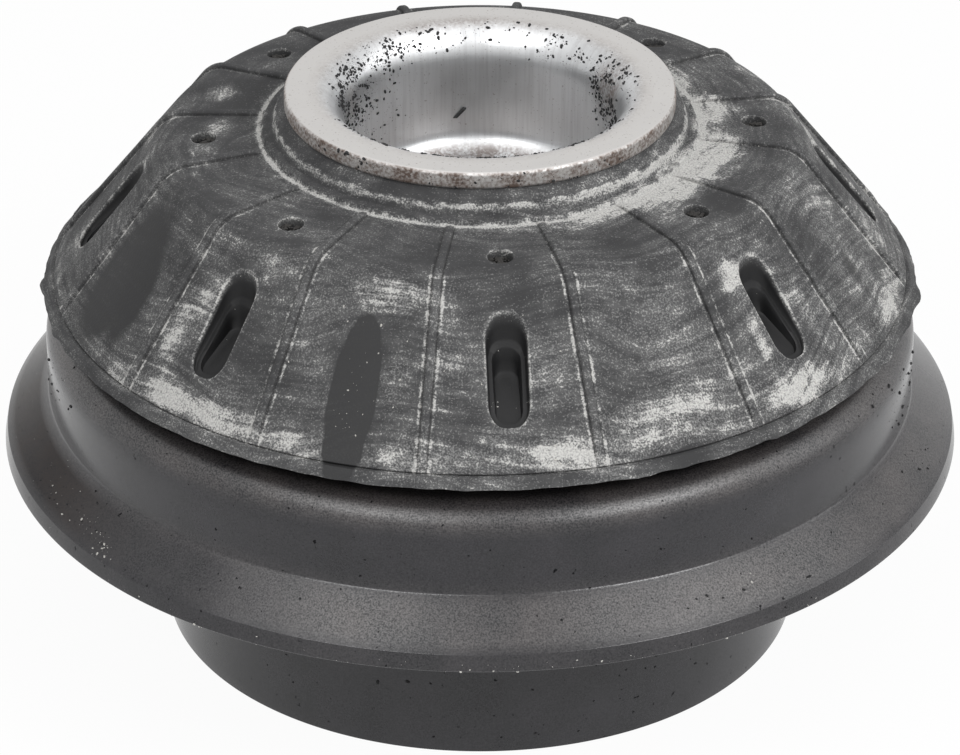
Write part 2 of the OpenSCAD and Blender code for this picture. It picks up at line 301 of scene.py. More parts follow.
def paint(piece: Object, name: str, values: np.ndarray) -> None:
    """Keep one number for each point of a piece, for its finish to read."""
    layer = piece.data.attributes.new(name, "FLOAT", "POINT")
    layer.data.foreach_set("value", values.astype(np.float32))


def wander(points: np.ndarray, size: float, shift: float = 0.0) -> np.ndarray:
    """Give smooth noise from about -1 to 1 at each point, in lumps of a size in millimetres."""
    offset = Vector((shift, 2 * shift, 3 * shift))
    return np.array([noise.noise(Vector(p) / size + offset) for p in points])


def radii(points: np.ndarray) -> np.ndarray:
    """Give each point's distance from the axis."""
    return np.hypot(points[:, 0], points[:, 1])


def bearings(points: np.ndarray) -> np.ndarray:
    """Give each point's angle about the axis, in degrees from the front and positive to the right."""
    return np.degrees(np.arctan2(points[:, 0], -points[:, 1]))


@dataclass(frozen=True)
class Patch:
    """A soft oval on a turned surface, by its bearing, its radius and its height."""

    bearing: float
    r: float
    z: float
    width: float
    length: float
    strength: float
    soft: float = 0.9
    power: float = 2.0
    end: float = 1.1

    def cover(self, points: np.ndarray) -> np.ndarray:
        """Give the patch's strength at each point, which fades out at its edge.

        Args:
            points: Places in millimetres.

        Returns:
            One strength for each point.
        """
        radius = radii(points)
        aside = (bearings(points) - self.bearing + 180) % 360 - 180
        across = np.radians(aside) * radius / (self.width / 2)
        along = np.hypot(radius - self.r, points[:, 2] - self.z) / (self.length / 2)
        away = (np.abs(across) ** self.power + np.abs(along) ** self.power) ** (1 / self.power)
        return self.strength * (1 - smooth_step(away, self.end - self.soft, self.end))


def patches(*rows: tuple[float, ...]) -> tuple[Patch, ...]:
    """Make a patch of each row: bearing, radius, height, width, length, strength, softness and power."""
    return tuple(Patch(*row) for row in rows)


def covered(points: np.ndarray, spots: Sequence[Patch]) -> np.ndarray:
    """Add up the strengths of patches at each point."""
    return sum(spot.cover(points) for spot in spots)


@dataclass(frozen=True)
class Finish:
    """A material with one shader, whose colours come from places on the object."""

    name: str

    def material(self) -> Material:
        """Make the material.

        Returns:
            The material, with its nodes.
        """
        made = bpy.data.materials.new(self.name)
        made.use_nodes = True
        tree = made.node_tree
        tree.nodes.clear()
        where = add(tree, "ShaderNodeTexCoord").outputs["Object"]
        place = add(tree, "ShaderNodeVectorMath", {0: where, "Scale": 1 / MM}, operation="SCALE")
        shader = add(tree, "ShaderNodeBsdfPrincipled", self.shade(tree, place))
        add(tree, "ShaderNodeOutputMaterial", {"Surface": shader})
        return made

    def shade(self, tree: NodeTree, place: Node) -> dict[str, Any]:
        """Make the finish's own nodes.

        Args:
            tree: The material's nodes.
            place: Places on the object in millimetres.

        Returns:
            What each of the shader's inputs takes.
        """
        raise NotImplementedError


@dataclass(frozen=True)
class RoundTheAxis:
    """Sockets and a node that tell where a point lies round the axis, in millimetres."""

    x: NodeSocket
    y: NodeSocket
    height: NodeSocket
    radius: NodeSocket
    spoke: Node

    @classmethod
    def of(cls, tree: NodeTree, place: Node) -> "RoundTheAxis":
        """Work them out from places on the object.

        Args:
            tree: The material's nodes.
            place: Places on the object in millimetres.

        Returns:
            The coordinates, the radius and the direction away from the axis.
        """
        x, y, height = add(tree, "ShaderNodeSeparateXYZ", {0: place}).outputs
        flat = add(tree, "ShaderNodeVectorMath", {0: place, 1: (1, 1, 0)}, operation="MULTIPLY")
        radius = add(tree, "ShaderNodeVectorMath", {0: flat}, operation="LENGTH").outputs["Value"]
        spoke = add(tree, "ShaderNodeVectorMath", {0: flat}, operation="NORMALIZE")
        return cls(x, y, height, radius, spoke)


@dataclass(frozen=True)
class MouldedRubber(Finish):
    """Vulcanised natural rubber, moulded: matte dark grey, speckled and swept with pale chalk.

    Chalk lies where the piece's "chalk" number is high, in broken lines along each rib and in two
    rings round the collar. Where "bare" is high the rubber is clean and a little shiny. A thin line
    of painted shade runs along each rib's foot, and in the sunk slots and pin holes the rubber is
    darkened with painted shade and dirt, more the deeper it lies.
    """

    dark: str = "#333334"
    worn: str = "#434344"
    dust: str = "#8b8b8a"
    chalk: str = "#c4c3c0"
    clean: str = "#212122"
    # Colour of the painted shade along the ribs' feet, and of the painted shade with dirt in the sunk slots
    # and pin holes
    crease_shade: str = "#161617"
    cloud_mm: float = 11.0
    lump_mm: float = 2.5
    speck_mm: float = 0.28
    grain_mm: float = 0.4
    drift_mm: float = 28.0
    drift_rise_mm: float = 26.0
    sweep_w_mm: float = 1.6
    sweep_l_mm: float = 15.0
    sweep_r_mm: float = 60.0
    rib_pitch_deg: float = 22.5
    rib_turn_deg: float = 15.25
    rib_edge_mm: float = 0.72
    # Width of the line of painted shade along each rib's foot
    rib_shade_mm: float = 0.16
    rib_line_mm: float = 0.4
    rib_start_mm: float = 43.0
    rib_fade_mm: float = 8.0
    rib_end_mm: float = 70.4
    collar_ring_mm: float = 33.6
    terrace_ring_mm: float = 36.1
    ring_wander_mm: float = 1.2
    roughness: float = 0.8
    bare_roughness: float = 0.55
    specular: float = 0.3

    def shade(self, tree: NodeTree, place: Node) -> dict[str, Any]:
        """Lay chalk, specks and haze on clouded rubber, and wipe them off where it is bare.

        Args:
            tree: The material's nodes.
            place: Places on the object in millimetres.

        Returns:
            What each of the shader's inputs takes.
        """
        around = RoundTheAxis.of(tree, place)
        cloud, speck, grain, drift = (
            add(tree, "ShaderNodeTexNoise", {"Vector": place, "Scale": 1 / size, "Detail": detail})
            for size, detail in (
                (self.cloud_mm, 5.0), (self.speck_mm, 2.0), (self.grain_mm, 2.0), (self.drift_mm, 1.0),
            )
        )
        lump = add(tree, "ShaderNodeTexNoise", {
            "Vector": place, "Scale": 1 / self.lump_mm, "Detail": 5.0, "Roughness": 0.65,
        })
        # The last of these numbers darkens the sunk slots and pin holes with painted shade and dirt
        chalk_paint, bare_paint, deep_shade_and_dirt = (
            add(tree, "ShaderNodeAttribute", attribute_name=name).outputs["Fac"]
            for name in ("chalk", "bare", "deep_shade_and_dirt")
        )
        sweep = self.strokes(tree, around, drift)
        crease_shade, lines = self.marks(tree, around, lump)

        # The share of the face that chalk covers, and what is left of it
        uneven = add(tree, "ShaderNodeMapRange", {
            "Value": cloud, "From Min": 0.3, "From Max": 0.7, "To Min": -0.17, "To Max": 0.17,
        }, clamp=False)
        laid = add(tree, "ShaderNodeMath", {0: chalk_paint, 1: lines}, operation="ADD")
        level = add(tree, "ShaderNodeMath", {0: laid, 1: uneven}, operation="ADD", use_clamp=True)
        gap = add(tree, "ShaderNodeMath", {0: 1.0, 1: level}, operation="SUBTRACT")

        # Ragged powdery chalk, fine specks and a swept haze, all by that share
        broad = add(tree, "ShaderNodeMath", {0: sweep, 1: 1.15, 2: lump}, operation="MULTIPLY_ADD")
        ragged = add(tree, "ShaderNodeMath", {0: speck, 1: 0.7, 2: broad}, operation="MULTIPLY_ADD")
        tone = add(tree, "ShaderNodeMapRange", {"Value": ragged, "From Min": 1.04, "From Max": 1.85})
        powder = add(tree, "ShaderNodeMapRange", {
            "Value": speck, "From Min": 0.36, "From Max": 0.6, "To Min": 0.35, "To Max": 0.95,
        })
        gathered = add(tree, "ShaderNodeMath", {0: sweep, 1: 0.35, 2: speck}, operation="MULTIPLY_ADD")
        fine = add(tree, "ShaderNodeMapRange", {"Value": gathered, "From Min": 0.45, "From Max": 0.92})
        chalk, specks = (
            add(tree, "ShaderNodeMapRange", {
                "Value": pattern,
                "From Min": add(tree, "ShaderNodeMath", {0: gap, 1: below}, operation="SUBTRACT"),
                "From Max": add(tree, "ShaderNodeMath", {0: gap, 1: above}, operation="ADD"),
                "To Max": most,
            }, interpolation_type="SMOOTHSTEP")
            for pattern, below, above, most in ((tone, 0.08, 0.28, powder), (fine, 0.3, 0.15, 0.6))
        )
        streak = add(tree, "ShaderNodeMapRange", {
            "Value": broad, "From Min": 0.86, "From Max": 1.3, "To Max": 0.9,
        }, interpolation_type="SMOOTHSTEP")
        haze = add(tree, "ShaderNodeMath", {0: streak, 1: level}, operation="MULTIPLY")

        wiped = add(tree, "ShaderNodeMath", {0: lump, 1: 0.3, 2: bare_paint}, operation="MULTIPLY_ADD")
        bare = add(tree, "ShaderNodeMapRange", {
            "Value": wiped, "From Min": 0.52, "From Max": 0.82, "To Max": 0.95,
        })
        clouded = add(tree, "ShaderNodeMapRange", {"Value": cloud, "From Min": 0.3, "From Max": 0.7})
        relief = add(tree, "ShaderNodeMath", {0: grain, 1: chalk}, operation="ADD")
        return {
            # The last two layers are painted shade: along the ribs' feet, and with dirt in the sunk slots and
            # pin holes
            "Base Color": layered(tree, self.dark, (
                (clouded, self.worn), (haze, self.dust), (specks, self.dust), (chalk, self.chalk),
                (bare, self.clean), (crease_shade, self.crease_shade), (deep_shade_and_dirt, self.crease_shade),
            )),
            "Roughness": add(tree, "ShaderNodeMapRange", {
                "Value": bare, "To Min": self.roughness, "To Max": self.bare_roughness,
            }),
            "Specular IOR Level": self.specular,
            "Normal": add(tree, "ShaderNodeBump", {"Height": relief, "Strength": 0.3, "Distance": 0.1 * MM}),
        }

    def strokes(self, tree: NodeTree, around: RoundTheAxis, drift: Node) -> Node:
        """Make strokes that run round the cone and drift up and down on the way.

        Args:
            tree: The material's nodes.
            around: Places round the axis.
            drift: Broad noise that shifts the strokes.

        Returns:
            The noise of the strokes.
        """
        slope = add(tree, "ShaderNodeMath", {0: around.height, 1: around.radius}, operation="SUBTRACT")
        rise = add(tree, "ShaderNodeMath", {
            0: drift, 1: self.drift_rise_mm, 2: slope,
        }, operation="MULTIPLY_ADD")
        wound = add(tree, "ShaderNodeVectorMath", {
            0: around.spoke, "Scale": self.sweep_r_mm / self.sweep_l_mm,
        }, operation="SCALE")
        swept = add(tree, "ShaderNodeVectorMath", {
            0: add(tree, "ShaderNodeCombineXYZ", {2: rise}), 1: (0, 0, 1 / self.sweep_w_mm), 2: wound,
        }, operation="MULTIPLY_ADD")
        return add(tree, "ShaderNodeTexNoise", {
            "Vector": swept, "Scale": 1.0, "Detail": 5.0, "Roughness": 0.65,
        })

    def marks(self, tree: NodeTree, around: RoundTheAxis, lump: Node) -> tuple[Node, Node]:
        """Make painted shade along each rib's foot, broken chalk beside it, and chalk round the collar.

        Args:
            tree: The material's nodes.
            around: Places round the axis.
            lump: Noise that breaks the lines.

        Returns:
            The shares of painted shade at the ribs' feet and of chalk.
        """
        angle = add(tree, "ShaderNodeMath", {0: around.y, 1: around.x}, operation="ARCTAN2")
        turned = add(tree, "ShaderNodeMath", {
            0: angle, 1: math.radians(self.rib_turn_deg),
        }, operation="SUBTRACT")
        half_pitch = math.radians(self.rib_pitch_deg) / 2
        wrapped = add(tree, "ShaderNodeMath", {0: turned, 1: half_pitch, 2: -half_pitch}, operation="WRAP")
        aside = add(tree, "ShaderNodeMath", {0: wrapped}, operation="ABSOLUTE")
        edge = add(tree, "ShaderNodeMath", {
            0: aside, 1: around.radius, 2: -self.rib_edge_mm,
        }, operation="MULTIPLY_ADD")
        past_edge = add(tree, "ShaderNodeMath", {0: edge, 1: self.rib_line_mm}, operation="SUBTRACT")
        broken = add(tree, "ShaderNodeMapRange", {
            "Value": lump, "From Min": 0.38, "From Max": 0.62, "To Min": 0.05, "To Max": 0.6,
        })
        uneven = add(tree, "ShaderNodeMath", {
            0: lump, 1: self.ring_wander_mm, 2: around.radius,
        }, operation="MULTIPLY_ADD")
        collar, terrace = (
            add(tree, "ShaderNodeMath", {
                0: uneven, 1: ring_mm + self.ring_wander_mm / 2,
            }, operation="SUBTRACT")
            for ring_mm in (self.collar_ring_mm, self.terrace_ring_mm)
        )
        # Painted shade along each rib's foot, a broken chalk line just past it, and chalk rings round the
        # collar
        crease_shade, line, *rings = (
            add(tree, "ShaderNodeMapRange", {
                "Value": add(tree, "ShaderNodeMath", {0: off}, operation="ABSOLUTE"),
                "From Min": width_mm, "From Max": 0.0, "To Min": 0.0, "To Max": most,
            }, interpolation_type="SMOOTHSTEP")
            for off, width_mm, most in (
                (edge, self.rib_shade_mm, 0.3), (past_edge, self.rib_line_mm, broken),
                (collar, 0.45, 0.5), (terrace, 0.9, 0.65),
            )
        )
        ended = add(tree, "ShaderNodeMath", {0: around.radius, 1: self.rib_end_mm}, operation="LESS_THAN")
        reach = add(tree, "ShaderNodeMapRange", {
            "Value": around.radius, "From Min": self.rib_start_mm,
            "From Max": self.rib_start_mm + self.rib_fade_mm, "To Max": ended,
        })
        lines = add(tree, "ShaderNodeMath", {0: line, 1: reach}, operation="MULTIPLY")
        for ring in rings:
            lines = add(tree, "ShaderNodeMath", {0: lines, 1: ring}, operation="ADD")
        return crease_shade, lines


@dataclass(frozen=True)
class DipCoat(Finish):
    """Steel with a baked dip coat: satin black, grainy and filmed with brown dust where it is flared.

    The piece's "dust" number sets the film and its grain, "speck" the pale specks along the rim, and
    "dull" how far dirt takes the shine away.
    """

    film: str = "#1a1a1d"
    worn: str = "#2d2c30"
    dust: str = "#6b635d"
    speck: str = "#b9b8b6"
    grit: str = "#0e0e10"
    dirt: str = "#2c231e"
    grain_mm: float = 0.27
    cloud_mm: float = 10.0
    pit_mm: float = 1.0
    speck_mm: float = 0.5
    thick_dust: float = 0.3
    roughness: float = 0.17
    dusty_roughness: float = 0.36

    def shade(self, tree: NodeTree, place: Node) -> dict[str, Any]:
        """Lay dust, dirt, pits and specks on the film, with shiny grains.

        Args:
            tree: The material's nodes.
            place: Places on the object in millimetres.

        Returns:
            What each of the shader's inputs takes.
        """
        grain, cloud, pit, fleck = (
            add(tree, "ShaderNodeTexNoise", {"Vector": place, "Scale": 1 / size, "Detail": detail})
            for size, detail in (
                (self.grain_mm, 3.0), (self.cloud_mm, 5.0), (self.pit_mm, 2.0), (self.speck_mm, 2.0),
            )
        )
        dust, speck, dull = (
            add(tree, "ShaderNodeAttribute", attribute_name=name).outputs["Fac"]
            for name in ("dust", "speck", "dull")
        )
        uneven = add(tree, "ShaderNodeMath", {0: grain, 1: cloud}, operation="ADD")
        share = add(tree, "ShaderNodeMapRange", {"Value": uneven, "From Min": 0.7, "From Max": 1.3})
        cover, soiled = (
            add(tree, "ShaderNodeMath", {0: share, 1: painted}, operation="MULTIPLY")
            for painted in (dust, dull)
        )
        pits = add(tree, "ShaderNodeMapRange", {
            "Value": pit, "From Min": 0.71, "From Max": 0.74,
        }, interpolation_type="SMOOTHSTEP")
        gap = add(tree, "ShaderNodeMath", {0: 0.86, 1: speck}, operation="SUBTRACT")
        specks = add(tree, "ShaderNodeMapRange", {
            "Value": fleck, "From Min": gap,
            "From Max": add(tree, "ShaderNodeMath", {0: gap, 1: 0.06}, operation="ADD"),
        }, interpolation_type="SMOOTHSTEP")

        # Grains that stand up shine, the hollows between them less, and pits and dirt hardly at all
        rough, grainy, hollow = (
            add(tree, "ShaderNodeMapRange", {
                "Value": dust, "From Max": self.thick_dust, "To Min": clean, "To Max": dusty,
            })
            for clean, dusty in ((self.roughness, self.dusty_roughness), (0.55, 1.0), (0.45, 0.4))
        )
        shine = add(tree, "ShaderNodeMapRange", {
            "Value": grain, "From Min": 0.35, "From Max": 0.65, "To Min": hollow, "To Max": grainy,
        })
        for hidden in (pits, dull):
            left = add(tree, "ShaderNodeMapRange", {"Value": hidden, "To Min": 1.0, "To Max": 0.2})
            shine = add(tree, "ShaderNodeMath", {0: shine, 1: left}, operation="MULTIPLY")
        strength = add(tree, "ShaderNodeMapRange", {"Value": dust, "To Min": 0.04, "To Max": 0.5})
        return {
            "Base Color": layered(tree, self.film, (
                (share, self.worn), (cover, self.dust), (soiled, self.dirt), (pits, self.grit),
                (specks, self.speck),
            )),
            "Roughness": rough,
            "Specular IOR Level": shine,
            "Normal": add(tree, "ShaderNodeBump", {
                "Height": grain, "Strength": strength, "Distance": 0.1 * MM,
            }),
        }


@dataclass(frozen=True)
class ZincSteel(Finish):
    """Pressed steel with a thin zinc plate: warm satin grey, with fine turned rings and brown stains.

    The piece's "stain" number sets how much of the plate is stained.
    """

    plate: str = "#c3c1bf"
    burnished: str = "#c8c9ca"
    drawn: str = "#939193"
    stain: str = "#6f625b"
    ring_mm: float = 0.25
    cloud_mm: float = 5.0
    speck_mm: float = 0.5
    pit_mm: float = 0.35
    draw_mm: float = 0.5
    draw_stretch: float = 25.0
    bore_mm: float = 22.4
    bell_mm: float = 4.8
    roughness: float = 0.5
    bore_roughness: float = 0.35
    stain_roughness: float = 0.25

    def shade(self, tree: NodeTree, place: Node) -> dict[str, Any]:
        """Lay stains and pits on the plate, with rings all over and drawn lines down the bore.

        Args:
            tree: The material's nodes.
            place: Places on the object in millimetres.

        Returns:
            What each of the shader's inputs takes.
        """
        around = RoundTheAxis.of(tree, place)
        across = add(tree, "ShaderNodeMath", {0: around.radius, 1: around.height}, operation="ADD")
        rings = add(tree, "ShaderNodeTexNoise", {
            "W": across, "Scale": 1 / self.ring_mm, "Detail": 2.0,
        }, noise_dimensions="1D")
        cloud, speck, pit = (
            add(tree, "ShaderNodeTexNoise", {"Vector": place, "Scale": 1 / size, "Detail": detail})
            for size, detail in ((self.cloud_mm, 5.0), (self.speck_mm, 3.0), (self.pit_mm, 1.0))
        )
        painted = add(tree, "ShaderNodeAttribute", attribute_name="stain").outputs["Fac"]
        blotch = add(tree, "ShaderNodeMath", {0: cloud, 1: speck}, operation="ADD")
        share = add(tree, "ShaderNodeMapRange", {"Value": blotch, "From Min": 0.75, "From Max": 1.2})
        stains = add(tree, "ShaderNodeMath", {0: share, 1: painted}, operation="MULTIPLY")
        pits = add(tree, "ShaderNodeMapRange", {
            "Value": pit, "From Min": 0.69, "From Max": 0.75, "To Max": 0.5,
        })
        cover = add(tree, "ShaderNodeMath", {0: stains, 1: pits}, operation="ADD", use_clamp=True)

        # Lines that the punch drew down the bore
        wound = add(tree, "ShaderNodeVectorMath", {
            0: around.spoke, "Scale": self.bore_mm / self.draw_mm,
        }, operation="SCALE")
        down = add(tree, "ShaderNodeVectorMath", {
            0: place, 1: (0, 0, 1 / (self.draw_stretch * self.draw_mm)), 2: wound,
        }, operation="MULTIPLY_ADD")
        lines = add(tree, "ShaderNodeTexNoise", {"Vector": down, "Scale": 1.0, "Detail": 3.0})
        bore = add(tree, "ShaderNodeMapRange", {
            "Value": around.radius, "From Min": self.bore_mm + self.bell_mm,
            "From Max": self.bore_mm + self.bell_mm / 2,
        }, interpolation_type="SMOOTHSTEP")
        score = add(tree, "ShaderNodeMapRange", {
            "Value": lines, "From Min": 0.45, "From Max": 0.75,
            "To Max": add(tree, "ShaderNodeMath", {0: bore, 1: 0.3}, operation="MULTIPLY"),
        })

        uneven = add(tree, "ShaderNodeMapRange", {
            "Value": cloud, "From Min": 0.3, "From Max": 0.7, "To Min": -0.03, "To Max": 0.05,
        })
        clean = add(tree, "ShaderNodeMapRange", {
            "Value": bore, "To Min": self.roughness, "To Max": self.bore_roughness,
        })
        stained = add(tree, "ShaderNodeMath", {
            0: cover, 1: self.stain_roughness, 2: clean,
        }, operation="MULTIPLY_ADD")
        return {
            "Base Color": layered(tree, self.plate, (
                (bore, self.burnished), (score, self.drawn), (cover, self.stain),
            )),
            "Metallic": 1.0,
            "Roughness": add(tree, "ShaderNodeMath", {0: stained, 1: uneven}, operation="ADD"),
            "Normal": add(tree, "ShaderNodeBump", {"Height": rings, "Strength": 0.12, "Distance": 0.05 * MM}),
        }


@dataclass(frozen=True)
class Plain(Finish):
    """A surface of one tone with a fine grain, for pieces inside the bearing and for loose dirt."""

    colour: str = "#2a2a2c"
    shade_colour: str = "#1d1d1f"
    grain_mm: float = 0.8
    metallic: float = 0.0
    roughness: float = 0.55

    def shade(self, tree: NodeTree, place: Node) -> dict[str, Any]:
        """Mix the two tones by the grain.

        Args:
            tree: The material's nodes.
            place: Places on the object in millimetres.

        Returns:
            What each of the shader's inputs takes.
        """
        grain = add(tree, "ShaderNodeTexNoise", {
            "Vector": place, "Scale": 1 / self.grain_mm, "Detail": 3.0,
        })
        return {
            "Base Color": layered(tree, self.shade_colour, [(grain, self.colour)]),
            "Metallic": self.metallic,
            "Roughness": self.roughness,
            "Normal": add(tree, "ShaderNodeBump", {"Height": grain, "Strength": 0.2, "Distance": 0.05 * MM}),
        }


class Tree:
    """A Geometry Nodes tree with named inputs, whose result becomes a plain mesh."""

    def __init__(self, name: str, inputs: dict[str, str]) -> None:
        """Make the tree with its input and output sockets.

        Args:
            name: Name of the tree.
            inputs: Blender's socket type for each input's name.
        """
        self.group = bpy.data.node_groups.new(name, "GeometryNodeTree")
        face = self.group.interface
        face.new_socket("Geometry", in_out="INPUT", socket_type="NodeSocketGeometry")
        self.sockets = {
            label: face.new_socket(label, in_out="INPUT", socket_type=kind).identifier
            for label, kind in inputs.items()
        }
        face.new_socket("Geometry", in_out="OUTPUT", socket_type="NodeSocketGeometry")
        self.source = add(self.group, "NodeGroupInput").outputs

    def end(self, geometry: Node) -> None:
        """Realise the instances, give them the material and link them to the output.

        Args:
            geometry: The node that made the instances.
        """
        real = add(self.group, "GeometryNodeRealizeInstances", {0: geometry})
        dressed = add(self.group, "GeometryNodeSetMaterial", {
            "Geometry": real, "Material": self.source["Material"],
        })
        add(self.group, "NodeGroupOutput", {0: dressed})

    def grow(self, piece: Object, values: dict[str, Any]) -> None:
        """Run the tree on a piece and leave the result as the piece's plain mesh.

        Args:
            piece: Object whose mesh is the tree's geometry.
            values: Value for each named input.
        """
        modifier = piece.modifiers.new(self.group.name, "NODES")
        modifier.node_group = self.group
        for label, value in values.items():
            modifier[self.sockets[label]] = value
        graph = bpy.context.evaluated_depsgraph_get()
        mesh = bpy.data.meshes.new_from_object(piece.evaluated_get(graph), depsgraph=graph)
        piece.modifiers.clear()
        host = piece.data
        piece.data = mesh
        bpy.data.meshes.remove(host)
        mesh.name = piece.name


def rib_tree() -> Tree:
    """Make the tree that sweeps one rib along a path and repeats it round the axis.

    Returns:
        The tree, with inputs for the rib's width, depth, edge radius, count and turn.
    """
    tree = Tree("ribs_round_the_axis", {
        "Width": "NodeSocketFloat", "Depth": "NodeSocketFloat", "Edge": "NodeSocketFloat",
        "Count": "NodeSocketInt", "Turn": "NodeSocketFloat", "Material": "NodeSocketMaterial",
    })
    group, source = tree.group, tree.source
    path = add(group, "GeometryNodeMeshToCurve", {0: source["Geometry"]})
    upright = add(group, "GeometryNodeSetCurveNormal", {0: path}, mode="Z_UP")
    outline = add(group, "GeometryNodeCurvePrimitiveQuadrilateral", {
        "Width": source["Width"], "Height": source["Depth"],
    })
    soft = add(group, "GeometryNodeFilletCurve", {
        "Curve": outline, "Radius": source["Edge"], "Count": 4,
    }, mode="POLY")
    rib = add(group, "GeometryNodeCurveToMesh", {
        "Curve": upright, "Profile Curve": soft, "Fill Caps": True,
    })
    spots = add(group, "GeometryNodeMeshLine", {"Count": source["Count"], "Offset": (0.0, 0.0, 0.0)})
    step = add(group, "ShaderNodeMath", {0: FULL_TURN, 1: source["Count"]}, operation="DIVIDE")
    index = add(group, "GeometryNodeInputIndex")
    angle = add(group, "ShaderNodeMath", {
        0: index, 1: step, 2: source["Turn"],
    }, operation="MULTIPLY_ADD")
    spin = add(group, "ShaderNodeCombineXYZ", {2: angle})
    turned = add(group, "GeometryNodeInstanceOnPoints", {
        "Points": spots, "Instance": rib, "Rotation": spin,
    })
    tree.end(turned)
    return tree


@dataclass(frozen=True)
class Grit:
    """A kind of loose lumps: how many lie on a square millimetre, and their sizes in millimetres."""

    per_mm2: float
    smallest: float
    largest: float
    flatness: float
    seed: int
    clump: float = 0.0

    def inputs(self, material: Material) -> dict[str, Any]:
        """Give the values that the grit tree's inputs take."""
        return {
            "Density": self.per_mm2 / MM**2, "Smallest": self.smallest * MM, "Largest": self.largest * MM,
            "Flatness": self.flatness, "Seed": self.seed, "Material": material,
        }

    def strewn(
        self, name: str, host: Object, spots: Sequence[Patch], tree: Tree, material: Material,
    ) -> Object:
        """Strew the lumps over patches of a finished piece, as a piece of its own inside the CAD box.

        Args:
            name: Name of the new piece.
            host: The piece that the lumps lie on.
            spots: Where they lie.
            tree: The tree that strews them.
            material: Their material.

        Returns:
            The lumps.
        """
        grit = bpy.data.objects.new(name, host.data.copy())
        bpy.context.scene.collection.objects.link(grit)
        points = places(grit)
        low, high = np.array(CAD_BOX) / MM
        thick = covered(points, spots) * (points[:, 2] < high[2] - self.largest * self.flatness)
        if self.clump:
            thick *= 1.5 * smooth_step(wander(points, self.clump), -0.3, 0.4)
        paint(grit, "grit", np.clip(thick, 0, 1))
        tree.grow(grit, self.inputs(material))
        move(grit, np.clip(places(grit), low, high))
        return grit


def grit_tree() -> Tree:
    """Make the tree that strews lumps over a surface, by its "grit" number.

    Returns:
        The tree, with inputs for the lumps' density, size, flatness and seed.
    """
    tree = Tree("grit_over_a_surface", {
        "Density": "NodeSocketFloat", "Smallest": "NodeSocketFloat", "Largest": "NodeSocketFloat",
        "Flatness": "NodeSocketFloat", "Seed": "NodeSocketInt", "Material": "NodeSocketMaterial",
    })
    group, source = tree.group, tree.source
    share = add(group, "GeometryNodeInputNamedAttribute", {"Name": "grit"}, data_type="FLOAT")
    density = add(group, "ShaderNodeMath", {0: share, 1: source["Density"]}, operation="MULTIPLY")
    spots = add(group, "GeometryNodeDistributePointsOnFaces", {
        "Mesh": source["Geometry"], "Density": density, "Seed": source["Seed"],
    })
    lump = add(group, "GeometryNodeMeshIcoSphere", {"Radius": 1.0, "Subdivisions": 1})
    dent = add(group, "ShaderNodeTexNoise", {"Scale": 1.6, "Detail": 1.0})
    pushed = add(group, "ShaderNodeVectorMath", {
        0: dent.outputs["Color"], 1: (0.5, 0.5, 0.5),
    }, operation="SUBTRACT")
    rough = add(group, "GeometryNodeSetPosition", {"Geometry": lump, "Offset": pushed})
    chance = add(group, "FunctionNodeRandomValue", {"Seed": source["Seed"]}, data_type="FLOAT")
    mostly_small = add(group, "ShaderNodeMath", {0: chance.outputs[1], 1: 5.0}, operation="POWER")
    size = add(group, "ShaderNodeMapRange", {
        "Value": mostly_small, "To Min": source["Smallest"], "To Max": source["Largest"],
    })
    bias = add(group, "ShaderNodeCombineXYZ", {0: 1.0, 1: 0.6, 2: source["Flatness"]})
    scale = add(group, "ShaderNodeVectorMath", {0: bias, "Scale": size}, operation="SCALE")
    spin = add(group, "FunctionNodeRandomValue", {
        "Max": (0.0, 0.0, FULL_TURN), "Seed": source["Seed"],
    }, data_type="FLOAT_VECTOR")
    turned = add(group, "FunctionNodeRotateRotation", {
        0: spots.outputs["Rotation"], 1: spin,
    }, rotation_space="LOCAL")
    lumps = add(group, "GeometryNodeInstanceOnPoints", {
        "Points": spots, "Instance": rough,
        "Rotation": turned, "Scale": scale,
    })
    tree.end(lumps)
    return tree


@dataclass(frozen=True)
class Window:
    """A sunk feature with round ends in the cone's face: its plan and how its wall goes down.

    Each step gives how far the wall has come in from the rim, and how deep it is there at the end
    near the axis and at the far end.
    """

    near_r: float
    far_r: float
    half_width: float
    end_round: float
    steps: tuple[tuple[float, float, float], ...]
    step: float = 0.2

    def directions(self, points: np.ndarray) -> np.ndarray:
        """Give the direction of each point from the middle.

        Args:
            points: Places along and across the radial line.

        Returns:
            Angles in the rim's own proportions.
        """
        length = (self.far_r - self.near_r) / 2
        middle = self.near_r + length
        return np.arctan2(points[:, 1] / self.half_width, (points[:, 0] - middle) / length)

    def ring(self, directions: np.ndarray, inset: float) -> np.ndarray:
        """Give the outline's point in each direction from its middle.

        Args:
            directions: Angles in the rim's own proportions.
            inset: Distance inwards from the rim.

        Returns:
            Points along and across the radial line, one for each direction.
        """
        half = self.half_width - inset
        near, far = self.near_r + inset, self.far_r - inset
        points = resampled(rounded([
            Corner(r, y, self.end_round * half)
            for r, y in ((far, -half), (far, half), (near, half), (near, -half))
        ]), self.step)
        angles = self.directions(points)
        order = np.argsort(angles)
        return np.stack([
            np.interp(directions, angles[order], points[order, k], period=FULL_TURN) for k in (0, 1)
        ], axis=1)

    def depth(self, along: np.ndarray, near_depth: float, far_depth: float) -> np.ndarray:
        """Give the depth at each distance along the radial line."""
        share = np.clip((along - self.near_r) / (self.far_r - self.near_r), 0, 1)
        return near_depth + (far_depth - near_depth) * share


